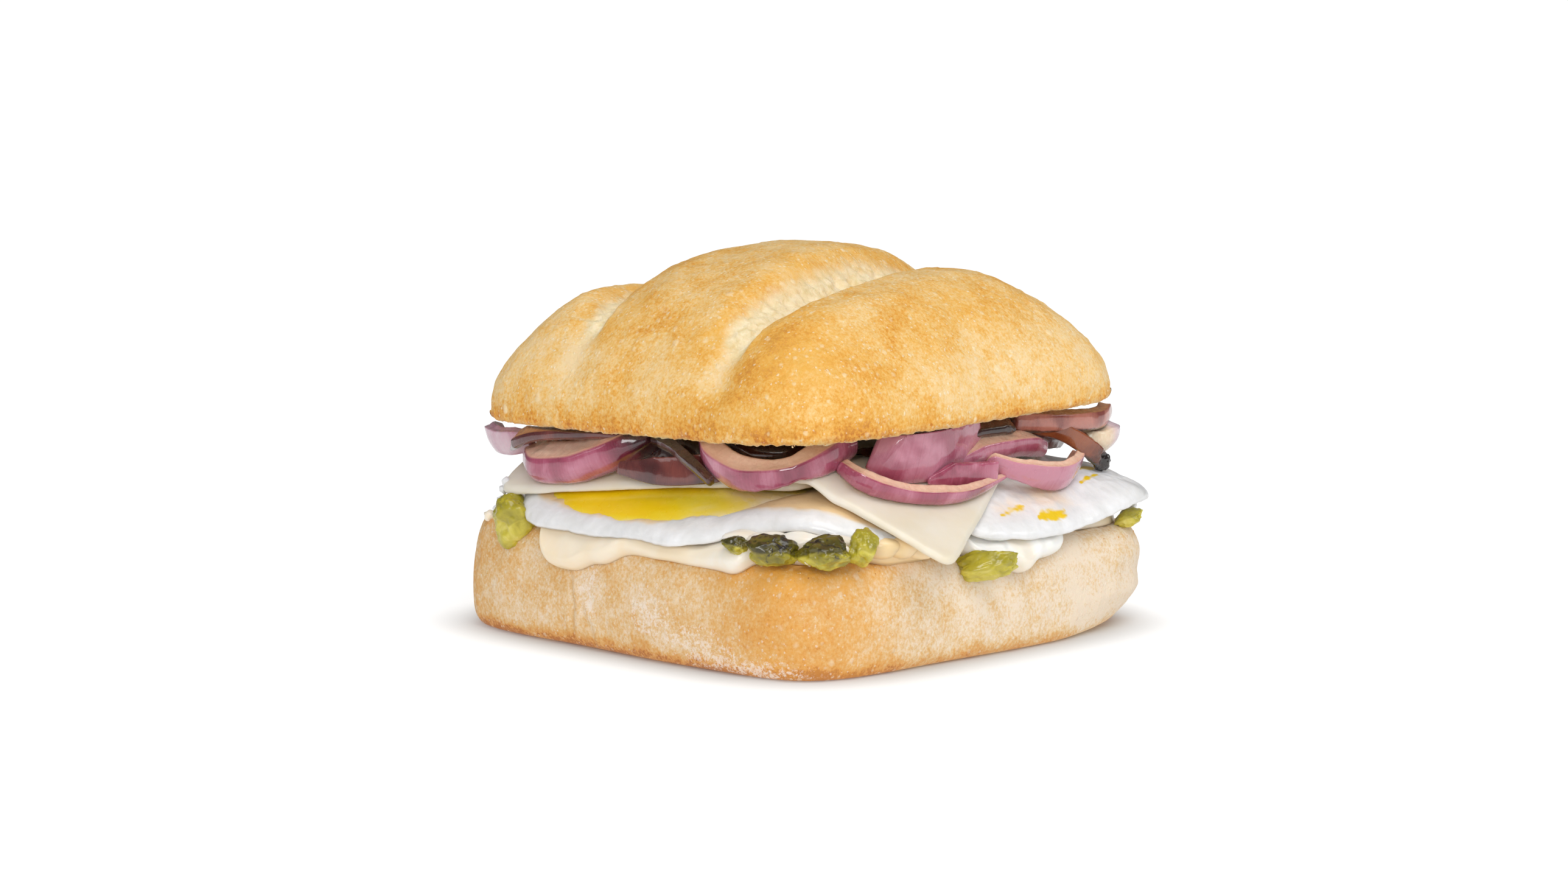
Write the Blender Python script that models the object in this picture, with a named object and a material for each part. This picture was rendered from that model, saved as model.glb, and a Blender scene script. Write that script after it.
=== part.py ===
# Breakfast sandwich: a square scored roll cut in two, with creamy sauce, green chile,
# two fried eggs, two cheese slices and browned red onion between its halves.
# Blender units are metres, +Z up; the origin is the middle of the flat underside.
# Shapes are worked out in millimetres and scaled when their meshes are made.

import math

import bmesh
import bpy
from mathutils import Vector, noise

MM = 0.001

# Clearances between neighbouring pieces
GAP = 0.35
DRAPE_GAP = 0.6

# Bottom half of the roll
BOTTOM_HALF = 54.5
BOTTOM_POWER = 7
BOTTOM_HEIGHT = 24.0
CUT_LEVEL = 22.9
CUT_FALL = 0.0148
BOTTOM_PROFILE = [
    (6.0, 0.0), (2.6, 0.15), (1.1, 1.2), (0.3, 3.4), (0.0, 8.0),
    (0.2, 12.5), (1.3, 18.5), (2.9, 22.0), (5.0, 23.5), (8.0, 24.0),
]
RIM_COUNT = 52

# The right-hand corner: where it is, how far its foot is tucked in and below what height, how
# far its shoulder stands out and between what heights
RIGHT_CORNER = (45, 11, 30)
FOOT_TUCK, FOOT_HEIGHT = 7.0, 9.0
SHOULDER_BULGE, SHOULDER_FROM, SHOULDER_TO = 1.5, 12.0, 19.0

# Top half of the roll
TOP_HALF = 51.5
TOP_POWER = 6
TOP_BASE = 45.25
TOP_TILT = (0.0385, 0.0085)
TOP_RISE = 33.0
TOP_SHIFT = -0.7
LOBE_SWELL = 2.0
TOP_STEPS = 14
SCORE_COLUMN = 4
SCORE_SOFT_SIDE = 11.0
SCORE_LIP_SIDE = 5.0
SCORE_DEPTH = 5.2
SCORES = [
    ((30.0, -40.0), (14.0, 20.0), (7.7, 46.0)),
    ((-9.6, -40.0), (-21.2, -15.5), (-30.0, 44.0)),
]

# Heights of the heap of egg that cheese and onion drape over
CROWN_TOP = 35.5
CROWN_SLOPE = 0.62
CROWN_SHOULDER = 17.6
CROWN_SOFT = 8.0

# Sauce
SAUCE_THICKNESS = 1.9
SAUCE_BEAD = 0.9
SAUCE_SHORTEST = 1.5
SAUCE_START = -2.0
SAUCE_OFF_ROLL = 0.45
SAUCE_STOPS = (0.0, 0.25, 0.5, 0.75, 1.0)
RIM_SHOULDER = 6.5
RIM_FALL = 0.75
SAUCE_THICK_SPOTS = [(2.2, (-23, 9, 8)), (0.8, (21, 12, 8))]

# How far each lobe of sauce hangs over the rim: run, then heading, half width and softness
SAUCE_LOBES = [
    (10.4, (-106.5, 8.5, 7)), (8.4, (-94, 8, 14)), (6.4, (-80, 23, 10)), (6.6, (-59, 4.5, 9)),
    (4.5, (-24, 9, 8)), (8.2, (7, 15, 6)), (11.8, (7, 3.5, 6)), (5.8, (78, 12, 12)),
    (8.0, (152, 14, 10)), (5.5, (204, 9, 10)),
]

# Eggs, with the line on which they meet and half the gap left there
EGG_LEFT = (-6.0, -14.0)
EGG_RIGHT = (20.0, 30.0)
EGG_MEET_POINT = (57.0, -14.0)
EGG_MEET_HEADING = 146.0
EGG_MEET_GAP = 1.4
EGG_RAYS = 36
EGG_OFF_SAUCE = 0.4
# Rings from the middle of the top over the lip to the middle of the underside: share of the
# radius, inset from the edge and drop below the top
EGG_TOP_RINGS = [
    (0.4, 0.0, 0.0), (0.65, 0.0, 0.0), (0.82, 0.0, 0.0), (1.0, 4.5, 0.0), (1.0, 1.6, 0.3),
    (1.0, 0.3, 1.1), (1.0, 0.3, 2.1),
]
EGG_UNDER_RINGS = [(1.0, 1.8, 3.2), (1.0, 6.0, 6.4), (0.7, 0.0, 12.0), (0.4, 0.0, 12.0)]
EGG_EDGE_WAVE = (0.6, 0.7)
# How far the egg's edge goes beyond the rim or stays inside it: run, then heading, half width
# and softness. The lifts raise the edge in the same form.
EGG_EDGE = [
    (2.6, (-102, 12, 10)), (-7.8, (-50, 13, 24)), (-7.2, (-131, 16, 12)), (1.8, (19, 18, 14)),
    (2.4, (45, 6, 12)),
]
EGG_LIFTS = [(2.6, (45, 12, 20)), (1.8, (-136, 10, 16))]
YOLK_CENTRE = (2.0, -37.0)
YOLK_RADII = (32.0, 15.5)
YOLK_TURN = 7.0
YOLK_DEPTH = 2.8
YOLK_COUNT = 28
POCKET_RISE = 4.0

# Cheese slices
CHEESE_THICKNESS = 1.9
CHEESE_STEPS = 12
CHEESE_1 = {"centre": (-8.8, -6.0), "turn": 11.0, "sides": (76.0, 82.0)}
CHEESE_2 = {"centre": (26.8, 3.2), "turn": 29.4, "sides": (40.0, 84.0)}

# Onion and chile
ONION_STEPS = 9
ONION_UNDER_ROLL = 0.45
ONION_OVER_CHEESE = 0.7
ONION_END_SHARE = 0.62
BACK_WALL = 4.4
ONION_SECTION = [
    (0.0, 0.12), (-0.08, 0.5), (0.0, 0.88), (0.14, 1.0), (0.95, 1.0), (1.0, 0.1), (0.15, 0.0),
]

# Strips of onion that the near corner shows. Each path follows the strip's lower outer edge:
# across the near corner's view, away from that corner, and up.
ONIONS = [
    {"name": "onion_loop", "height": 6.8, "wall": 5.0, "lean": 0, "tone": "purple",
     "path": [(-21.5, -36.0, 42.6), (-19.0, -44.0, 37.8), (-12.0, -52.0, 34.8), (-2.5, -55.5, 35.4),
              (5.0, -51.2, 38.7), (11.2, -41.0, 42.0)]},
    {"name": "onion_left_arc", "height": 7.6, "wall": 8.2, "lean": -4, "tone": "purple",
     "path": [(-58.6, -8.0, 33.8), (-55.6, -16.5, 31.3), (-46.5, -24.0, 32.2), (-36.0, -28.5, 36.0),
              (-26.6, -27.0, 41.0)]},
    {"name": "onion_long_arc", "height": 3.8, "wall": 3.8, "lean": 0, "tone": "purple",
     "path": [(5.4, -50.0, 39.6), (11.0, -53.0, 36.0), (20.5, -49.4, 32.6), (32.0, -40.8, 31.6),
              (42.4, -25.0, 33.9)]},
    {"name": "onion_pink_petal", "height": 7.6, "wall": 3.8, "lean": 2, "tone": "purple",
     "path": [(36.0, -27.0, 36.2), (43.4, -24.4, 32.2), (51.6, -18.0, 30.2), (55.2, -11.5, 31.4),
              (55.4, -6.0, 34.2)]},
    {"name": "onion_big_petal", "height": 10.0, "wall": 2.8, "lean": -8, "tone": "purple",
     "path": [(11.8, -45.5, 39.4), (18.0, -45.0, 36.6), (27.0, -37.2, 35.9), (36.5, -24.0, 39.6)]},
    {"name": "onion_brown_petal", "height": 6.0, "wall": 2.8, "lean": -10, "tone": "brown",
     "path": [(-39.0, -31.5, 36.0), (-30.6, -38.0, 35.0), (-22.0, -42.6, 35.8)]},
    {"name": "onion_dark_strand", "height": 2.4, "wall": 2.2, "lean": 0, "tone": "dark",
     "path": [(-31.5, -31.0, 42.0), (-27.5, -36.5, 41.2), (-24.0, -42.0, 39.4), (-19.6, -47.2, 36.0)]},
    {"name": "onion_under_strip", "height": 3.4, "wall": 3.0, "lean": 0, "tone": "purple",
     "path": [(25.0, -41.5, 35.0), (29.5, -38.2, 34.6), (34.5, -33.5, 33.8), (39.0, -29.5, 33.2)]},
    {"name": "onion_lilac_strip", "height": 4.6, "wall": 5.5, "lean": 4, "tone": "purple",
     "path": [(31.0, -31.0, 36.4), (35.0, -27.5, 37.4), (40.0, -23.0, 37.8), (45.5, -17.0, 37.4),
              (49.5, -10.5, 36.0)]},
    {"name": "onion_amber_strip", "height": 3.0, "wall": 3.2, "lean": 0, "tone": "amber",
     "path": [(46.5, -12.0, 42.0), (54.6, -8.5, 38.2), (61.6, -3.0, 32.2)]},
    {"name": "onion_right_loop", "height": 4.2, "wall": 5.0, "lean": 0, "tone": "brown",
     "path": [(43.0, -17.0, 42.6), (53.0, -10.8, 41.7), (61.6, -2.4, 41.2), (64.0, 6.0, 41.8)]},
    {"name": "onion_right_piece", "height": 5.0, "wall": 4.6, "lean": 0, "tone": "pale",
     "path": [(56.5, -3.0, 36.8), (60.5, -1.5, 35.8), (63.8, 2.5, 36.2), (64.4, 8.0, 37.4)]},
    {"name": "onion_left_strip", "height": 2.2, "wall": 4.6, "lean": 0, "tone": "dark",
     "path": [(-61.8, -8.0, 37.4), (-57.0, -14.8, 40.2), (-48.0, -22.0, 41.8), (-37.0, -28.5, 42.6)]},
    {"name": "onion_left_piece", "height": 5.8, "wall": 3.6, "lean": 0, "tone": "pale",
     "path": [(-63.8, 9.0, 36.2), (-65.0, 1.5, 35.9), (-61.8, -4.2, 35.8), (-56.5, -7.5, 37.2)]},
    {"name": "onion_left_filler", "height": 7.0, "wall": 6.0, "lean": 4, "tone": "brown",
     "path": [(-54.0, 0.0, 36.2), (-49.0, -8.0, 36.6), (-41.0, -13.5, 37.6), (-32.0, -16.0, 38.4)]},
    {"name": "onion_inner_arc", "height": 2.4, "wall": 3.0, "lean": 0, "tone": "dark",
     "path": [(-16.0, -35.0, 42.4), (-11.0, -41.5, 41.3), (-4.0, -43.0, 41.2), (2.0, -39.0, 42.0)]},
    {"name": "onion_dark_scraps", "height": 2.4, "wall": 4.0, "lean": 0, "tone": "dark",
     "path": [(34.0, -27.5, 42.6), (39.0, -23.0, 42.7), (43.0, -20.0, 42.6)]},
    {"name": "onion_right_filler", "height": 7.0, "wall": 6.0, "lean": 4, "tone": "brown",
     "path": [(34.0, -17.5, 38.0), (42.0, -13.0, 37.4), (49.0, -6.0, 36.6), (54.0, 1.0, 36.0)]},
]

# Strips round the two faces behind, laid by rule: heading round the roll, distance in from
# the rim, radius of the ring, half the arc that is left of it, height above the cheese,
# height of the slice and its tone.
BACK_ONIONS = [
    (64, 8, 16, 64, 0.5, 7.0, "purple"), (91, 6, 19, 60, 0.5, 6.6, "purple"),
    (118, 8, 15, 72, 0.5, 7.4, "brown"), (146, 7, 16, 64, 0.5, 6.2, "purple"),
    (173, 6, 19, 60, 0.5, 5.6, "purple"), (200, 8, 15, 64, 0.5, 6.0, "brown"),
]

# Pieces of green chile: across, away, up, then half sizes along those three and a turn
CHILES = [
    ("chile_left", (-59.6, -13.2, 24.0), (5.2, 4.4, 5.2), -45, "green"),
    ("chile_near_scrap", (-13.8, -60.5, 26.6), (2.7, 2.4, 1.7), -20, "dark"),
    ("chile_near_dark", (-6.9, -65.0, 26.2), (5.2, 3.8, 3.0), -12, "dark"),
    ("chile_near_middle", (3.7, -67.0, 25.9), (5.0, 3.8, 3.1), 8, "dark"),
    ("chile_near_bright", (11.2, -64.3, 26.8), (3.1, 3.2, 3.6), 30, "green"),
    ("chile_right_face", (36.4, -43.4, 19.4), (6.4, 2.4, 2.9), 45, "green"),
    ("chile_right_corner", (67.4, -3.0, 22.6), (2.8, 2.6, 1.8), 60, "green"),
    ("chile_back_right", (34.0, 35.5, 24.4), (5.4, 3.6, 3.2), -45, "green"),
    ("chile_back", (-6.0, 64.5, 24.8), (5.2, 3.8, 3.1), 10, "dark"),
    ("chile_back_left", (-43.5, 27.0, 25.6), (5.6, 3.6, 3.1), 45, "green"),
]

COLOURS = {
    "crust": ((0.80, 0.47, 0.18), 0.62), "base_crust": ((0.82, 0.56, 0.29), 0.68),
    "sauce": ((0.90, 0.74, 0.50), 0.35), "white": ((0.90, 0.89, 0.85), 0.32),
    "yolk": ((0.90, 0.58, 0.02), 0.25), "cheese": ((0.91, 0.85, 0.66), 0.38),
    "purple": ((0.33, 0.08, 0.19), 0.28), "brown": ((0.20, 0.07, 0.08), 0.28),
    "dark": ((0.09, 0.03, 0.03), 0.32), "amber": ((0.42, 0.20, 0.10), 0.30),
    "pale": ((0.62, 0.43, 0.44), 0.30), "green": ((0.33, 0.40, 0.05), 0.35),
    "charred": ((0.10, 0.12, 0.03), 0.40),
}


# Numbers and curves

def smoothstep(value, low, high):
    t = min(max((value - low) / (high - low), 0.0), 1.0)
    return t * t * (3 - 2 * t)


def soft_ramp(value, width):
    if value <= 0:
        return 0.0
    return value * value / (2 * width) if value < width else value - width / 2


def plateau(angle, centre, half, soft):
    off = abs((angle - centre + 180) % 360 - 180)
    return 1 - smoothstep(off, half - soft / 2, half + soft / 2)


def outline_radius(angle, half, power):
    c, s = abs(math.cos(angle)), abs(math.sin(angle))
    return half / (c ** power + s ** power) ** (1 / power)


def beyond_rim(x, y, half=BOTTOM_HALF, power=BOTTOM_POWER):
    return ((abs(x / half) ** power + abs(y / half) ** power) ** (1 / power) - 1) * half


def rim_angles(count):
    samples = 1440
    angles = [2 * math.pi * i / samples for i in range(samples + 1)]
    points = [Vector((math.cos(a), math.sin(a))) * outline_radius(a, BOTTOM_HALF, BOTTOM_POWER)
              for a in angles]
    run = [0.0]
    for before, after in zip(points, points[1:]):
        run.append(run[-1] + (after - before).length)
    result, j = [], 0
    for i in range(count):
        target = run[-1] * (i + 0.5) / count
        while run[j + 1] < target:
            j += 1
        part = (target - run[j]) / (run[j + 1] - run[j])
        result.append(angles[j] + part * (angles[j + 1] - angles[j]))
    return result


def from_corner_view(across, away, up):
    return Vector(((across - away) / math.sqrt(2), (across + away) / math.sqrt(2), up))


def smooth_path(points, count):
    ends = [points[0] * 2 - points[1]] + points + [points[-1] * 2 - points[-2]]
    result = []
    for i in range(count + 1):
        t = i / count * (len(points) - 1)
        k = min(int(t), len(points) - 2)
        f = t - k
        a, b, c, d = ends[k:k + 4]
        result.append(0.5 * (2 * b + (c - a) * f + (2 * a - 5 * b + 4 * c - d) * f * f
                             + (3 * b - a - 3 * c + d) * f ** 3))
    return result


# Shared surfaces

def cut_level(x, y):
    return CUT_LEVEL - CUT_FALL * (x + y)


def top_cut_level(x, y):
    return TOP_BASE + TOP_TILT[0] * x + TOP_TILT[1] * y


def crown(x, y):
    return CROWN_TOP - CROWN_SLOPE * soft_ramp(beyond_rim(x, y) + CROWN_SHOULDER, CROWN_SOFT)


def in_slice(x, y, slice_spec, edge, soft):
    turn = math.radians(slice_spec["turn"])
    dx, dy = x - slice_spec["centre"][0], y - slice_spec["centre"][1]
    a = abs(math.cos(turn) * dx + math.sin(turn) * dy) - slice_spec["sides"][0] / 2
    b = abs(-math.sin(turn) * dx + math.cos(turn) * dy) - slice_spec["sides"][1] / 2
    return 1 - smoothstep(max(a, b), edge, edge + soft)


def slice_level(x, y, upper):
    level = crown(x, y) + DRAPE_GAP
    if upper:
        level += in_slice(x, y, CHEESE_1, 2.0, 6.0) * (CHEESE_THICKNESS + DRAPE_GAP + 0.1)
    return level


def cheese_top(x, y):
    level = crown(x, y)
    for slice_spec, upper in ((CHEESE_1, False), (CHEESE_2, True)):
        over = slice_level(x, y, upper) + CHEESE_THICKNESS
        level += in_slice(x, y, slice_spec, 3.0, 6.0) * max(over - level, 0)
    return level


def side_wobble(angle):
    return 0.45 * math.sin(3 * angle + 0.6) + 0.3 * math.sin(5 * angle + 2.1) + 0.25 * math.sin(8 * angle)


# Mesh making

def material(name):
    mat = bpy.data.materials.get(name) or bpy.data.materials.new(name)
    colour, roughness = COLOURS[name]
    mat.use_nodes = True
    shader = mat.node_tree.nodes["Principled BSDF"]
    shader.inputs["Base Color"].default_value = (*colour, 1.0)
    shader.inputs["Roughness"].default_value = roughness
    shader.inputs["Metallic"].default_value = 0.0
    mat.diffuse_color = (*colour, 1.0)
    return mat


def make_object(name, points, faces, tone):
    mesh = bpy.data.meshes.new(name)
    mesh.from_pydata([Vector(p) * MM for p in points], [], faces)
    bm = bmesh.new()
    bm.from_mesh(mesh)
    bmesh.ops.recalc_face_normals(bm, faces=bm.faces)
    if bm.calc_volume(signed=True) < 0:
        bmesh.ops.reverse_faces(bm, faces=bm.faces)
    bm.to_mesh(mesh)
    bm.free()
    mesh.materials.append(material(tone))
    mesh.shade_smooth()
    mesh.set_sharp_from_angle(angle=math.radians(35))
    obj = bpy.data.objects.new(name, mesh)
    bpy.context.scene.collection.objects.link(obj)
    return obj


def loft(name, rings, tone, poles=None):
    count = len(rings[0])
    points = [p for ring in rings for p in ring]
    faces = []
    for k in range(len(rings) - 1):
        for i in range(count):
            j = (i + 1) % count
            faces.append((k * count + i, k * count + j, (k + 1) * count + j, (k + 1) * count + i))
    last = (len(rings) - 1) * count
    if poles is None:
        faces.append(tuple(range(count)))
        faces.append(tuple(last + i for i in range(count)))
    else:
        start, end = len(points), len(points) + 1
        points = points + list(poles)
        for i in range(count):
            j = (i + 1) % count
            faces.append((start, j, i))
            faces.append((end, last + i, last + j))
    return make_object(name, points, faces, tone)


def carve(obj, cutters):
    bpy.context.view_layer.update()
    for cutter in cutters:
        cut = obj.modifiers.new("cut", "BOOLEAN")
        cut.operation = "DIFFERENCE"
        cut.solver = "EXACT"
        cut.object = cutter
    graph = bpy.context.evaluated_depsgraph_get()
    mesh = bpy.data.meshes.new_from_object(obj.evaluated_get(graph))
    obj.modifiers.clear()
    obj.data = mesh
    keep_largest(mesh)


def keep_largest(mesh):
    bm = bmesh.new()
    bm.from_mesh(mesh)
    bmesh.ops.triangulate(bm, faces=bm.faces)
    left = set(bm.faces)
    islands = []
    while left:
        island, todo = [], [left.pop()]
        while todo:
            face = todo.pop()
            island.append(face)
            for edge in face.edges:
                for other in edge.link_faces:
                    if len(edge.link_faces) == 2 and other in left:
                        left.remove(other)
                        todo.append(other)
        islands.append(island)
    islands.sort(key=lambda island: sum(face.calc_area() for face in island))
    for island in islands[:-1]:
        bmesh.ops.delete(bm, geom=island, context="FACES")
    bm.to_mesh(mesh)
    bm.free()


def discard(objects):
    for obj in objects:
        bpy.data.objects.remove(obj)


# Bottom half of the roll and what follows its rim

ANGLES = rim_angles(RIM_COUNT)


def profile_point(run, offset):
    # Inset and height at a run outwards over the rim from the flat cut face
    points = list(reversed(BOTTOM_PROFILE))
    if run <= 0:
        return points[0][0] - run, points[0][1] + offset
    for k, (a, b) in enumerate(zip(points, points[1:])):
        length = math.dist(a, b)
        if run <= length or k == len(points) - 2:
            part = run / length
            inset = a[0] + part * (b[0] - a[0])
            height = a[1] + part * (b[1] - a[1])
            before = points[max(k - 1, 0)]
            after = points[min(k + 2, len(points) - 1)]
            slope_a = Vector((b[0] - before[0], b[1] - before[1])).normalized()
            slope_b = Vector((after[0] - a[0], after[1] - a[1])).normalized()
            slope = slope_a.lerp(slope_b, part).normalized()
            return inset + slope.y * offset, height - slope.x * offset
        run -= length


def rim_point(angle, inset, height):
    right = plateau(math.degrees(angle), *RIGHT_CORNER)
    inset += right * FOOT_TUCK * max(1 - height / FOOT_HEIGHT, 0.0) ** 1.2
    inset -= right * SHOULDER_BULGE * smoothstep(height, SHOULDER_FROM, SHOULDER_TO)
    radius = outline_radius(angle, BOTTOM_HALF, BOTTOM_POWER) + side_wobble(angle) - inset
    x, y = radius * math.cos(angle), radius * math.sin(angle)
    return Vector((x, y, height * cut_level(x, y) / BOTTOM_HEIGHT))


def roll_bottom(name, grow=0.0):
    rings = []
    for k, (inset, height) in enumerate(BOTTOM_PROFILE):
        lift = grow if k == len(BOTTOM_PROFILE) - 1 else (-grow if k == 0 else 0)
        rings.append([rim_point(a, inset - grow, height + lift) for a in ANGLES])
    return loft(name, rings, "base_crust")


def sauce_run(degrees):
    return max([SAUCE_SHORTEST] + [run * plateau(degrees, *lobe) for run, lobe in SAUCE_LOBES])


def sauce_depth(degrees):
    return SAUCE_THICKNESS + sum(more * plateau(degrees, *spot) for more, spot in SAUCE_THICK_SPOTS)


def sauce(name, grow=0.0):
    def ring(place, share):
        points = []
        for a in ANGLES:
            degrees = math.degrees(a)
            run = SAUCE_START + (sauce_run(degrees) + grow - SAUCE_START) * place
            depth = sauce_depth(degrees) * share + (grow if share > 0.5 else -grow)
            if share == 0.5:
                run += SAUCE_BEAD + grow
            inset, height = profile_point(run, SAUCE_OFF_ROLL + depth)
            points.append(rim_point(a, inset, height))
        return points

    rings = [ring(place, 0.0) for place in SAUCE_STOPS]
    rings.append(ring(1.0, 0.5))
    rings += [ring(place, 0.8 if place == 1.0 else 1.0) for place in reversed(SAUCE_STOPS)]
    return loft(name, rings, "sauce")


def sauce_top(x, y):
    angle = math.atan2(y, x)
    reach = outline_radius(angle, BOTTOM_HALF, BOTTOM_POWER) + side_wobble(angle)
    past_shoulder = RIM_SHOULDER - (reach - math.hypot(x, y))
    top = cut_level(x, y) + DRAPE_GAP + sauce_depth(math.degrees(angle))
    return top - RIM_FALL * soft_ramp(past_shoulder, RIM_SHOULDER)


# Eggs

def egg_reach(degrees):
    reach = EGG_EDGE_WAVE[0] + EGG_EDGE_WAVE[1] * math.sin(math.radians(5 * degrees + 40))
    return reach + sum(run * plateau(degrees, *place) for run, place in EGG_EDGE)


def egg_level(x, y):
    degrees = math.degrees(math.atan2(y, x))
    lift = sum(height * plateau(degrees, *place) for height, place in EGG_LIFTS)
    bump = noise.noise(Vector((x, y, 3.0)) * 0.11)
    return crown(x, y) - 0.35 - 0.35 * bump + lift * smoothstep(beyond_rim(x, y), -15.0, -2.0)


def egg_radius(centre, heading, side):
    away = math.radians(EGG_MEET_HEADING)
    across = Vector((-math.sin(away), math.cos(away)))
    step, radius = 0.25, 5.0
    while radius < 2 * BOTTOM_HALF:
        x = centre[0] + radius * math.cos(heading)
        y = centre[1] + radius * math.sin(heading)
        meet = (x - EGG_MEET_POINT[0]) * across.x + (y - EGG_MEET_POINT[1]) * across.y
        if meet * side < EGG_MEET_GAP:
            break
        if beyond_rim(x, y) > egg_reach(math.degrees(math.atan2(y, x))):
            break
        radius += step
    return radius


def egg(name, centre, side, grow=0.0):
    headings = [2 * math.pi * i / EGG_RAYS for i in range(EGG_RAYS)]
    raw = [egg_radius(centre, h, side) for h in headings]
    radii = [(raw[i - 1] + 2 * raw[i] + raw[(i + 1) % EGG_RAYS]) / 4 for i in range(EGG_RAYS)]

    def height(x, y, drop, under):
        if under:
            return max(egg_level(x, y) - drop, sauce_top(x, y) + EGG_OFF_SAUCE) - grow
        return egg_level(x, y) - drop + grow

    def ring(share, inset, drop, under):
        points = []
        for heading, radius in zip(headings, radii):
            r = max(radius * share - inset, 2.0) + grow
            x = centre[0] + r * math.cos(heading)
            y = centre[1] + r * math.sin(heading)
            points.append(Vector((x, y, height(x, y, drop, under))))
        return points

    rings = [ring(*spec, False) for spec in EGG_TOP_RINGS]
    rings += [ring(*spec, True) for spec in EGG_UNDER_RINGS]
    poles = [Vector((*centre, height(*centre, 0.0, False))),
             Vector((*centre, height(*centre, EGG_UNDER_RINGS[-1][2], True)))]
    return loft(name, rings, "white", poles)


def yolk(name, grow=0.0, open_top=False):
    turn = math.radians(YOLK_TURN)
    lid = POCKET_RISE if open_top else 0.0
    floor = -YOLK_DEPTH - grow

    def point(a, b, rise):
        x = YOLK_CENTRE[0] + a * math.cos(turn) - b * math.sin(turn)
        y = YOLK_CENTRE[1] + a * math.sin(turn) + b * math.cos(turn)
        return Vector((x, y, crown(x, y) - 0.3 + rise))

    rings = []
    for share, rise in ((0.5, lid), (1.0, lid), (1.0, floor), (0.5, floor)):
        ring = []
        for i in range(YOLK_COUNT):
            t = 2 * math.pi * i / YOLK_COUNT
            a = (YOLK_RADII[0] + grow) * math.copysign(abs(math.cos(t)) ** 0.8, math.cos(t))
            b = (YOLK_RADII[1] + grow) * math.copysign(abs(math.sin(t)) ** 0.8, math.sin(t))
            ring.append(point(a * share, b * share, rise))
        rings.append(ring)
    return loft(name, rings, "yolk", (point(0.0, 0.0, lid), point(0.0, 0.0, floor)))


# Cheese

def cheese(name, spec, upper):
    turn = math.radians(spec["turn"])
    half_a, half_b = spec["sides"][0] / 2, spec["sides"][1] / 2
    stops = []
    for i in range(CHEESE_STEPS + 1):
        t = 2 * i / CHEESE_STEPS - 1
        stops.append(math.copysign(abs(t) ** 0.85, t))
    points = []
    for level in (0, 1):
        for b in [half_b * stop for stop in stops]:
            for a in [half_a * stop for stop in stops]:
                corner = max(abs(a) + abs(b) - half_a - half_b + 3.0, 0) * 0.35
                ax = a - math.copysign(corner, a)
                bx = b - math.copysign(corner, b)
                x = spec["centre"][0] + ax * math.cos(turn) - bx * math.sin(turn)
                y = spec["centre"][1] + ax * math.sin(turn) + bx * math.cos(turn)
                points.append(Vector((x, y, slice_level(x, y, upper) + level * CHEESE_THICKNESS)))
    side = CHEESE_STEPS + 1
    faces = []
    for level in (0, 1):
        for j in range(CHEESE_STEPS):
            for i in range(CHEESE_STEPS):
                k = level * side * side + j * side + i
                faces.append((k, k + 1, k + side + 1, k + side))
    edge = [i for i in range(side)]
    edge += [j * side + side - 1 for j in range(1, side)]
    edge += [(side - 1) * side + i for i in range(side - 2, -1, -1)]
    edge += [j * side for j in range(side - 2, 0, -1)]
    for k, now in enumerate(edge):
        after = edge[(k + 1) % len(edge)]
        faces.append((now, after, after + side * side, now + side * side))
    return make_object(name, points, faces, "cheese")


# Onion

def onion(name, path, height, wall, lean, tone, grow=0.0):
    line = smooth_path(path, ONION_STEPS)
    rings = []
    for i, p in enumerate(line):
        before, after = line[max(i - 1, 0)], line[min(i + 1, ONION_STEPS)]
        along = (after - before).normalized()
        step = 1.0
        fall_x = (crown(p.x + step, p.y) - crown(p.x - step, p.y)) / (2 * step)
        fall_y = (crown(p.x, p.y + step) - crown(p.x, p.y - step)) / (2 * step)
        up = Vector((-fall_x, -fall_y, 1.0))
        up = (up - up.dot(along) * along).normalized()
        out = along.cross(up)
        tilt = math.radians(lean)
        up, out = up * math.cos(tilt) + out * math.sin(tilt), out * math.cos(tilt) - up * math.sin(tilt)
        t = i / ONION_STEPS
        full = min(1.0, 2.2 * math.sin(math.pi * min(max(t, 0.04), 0.96)))
        taper = ONION_END_SHARE + (1 - ONION_END_SHARE) * full
        end = (-grow if i == 0 else grow if i == ONION_STEPS else 0)
        ring = []
        for inward, rise in ONION_SECTION:
            a = (0.5 + (inward - 0.5) * taper) * wall + (grow if inward > 0.5 else -grow)
            b = (0.1 + (rise - 0.1) * taper) * height + (grow if rise > 0.5 else -grow)
            q = p - out * a + up * b + along * end
            if beyond_rim(q.x, q.y, TOP_HALF, TOP_POWER) < 2.5:
                q.z = min(q.z, top_cut_level(q.x, q.y) - ONION_UNDER_ROLL + grow)
            q.z = max(q.z, cheese_top(q.x, q.y) + ONION_OVER_CHEESE - grow)
            ring.append(q)
        rings.append(ring)
    return loft(name, rings, tone)


def back_path(heading, inset, radius, half_arc, lift):
    away = math.radians(heading)
    out = Vector((math.cos(away), math.sin(away)))
    along = Vector((out.y, -out.x)) * -1
    middle = out * (outline_radius(away, BOTTOM_HALF, BOTTOM_POWER) - inset - radius)
    path = []
    for k in range(5):
        t = math.radians(half_arc) * (k / 2 - 1)
        spot = middle + (along * math.sin(t) + out * math.cos(t)) * radius
        path.append(Vector((spot.x, spot.y, cheese_top(spot.x, spot.y) + lift)))
    return path


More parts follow.
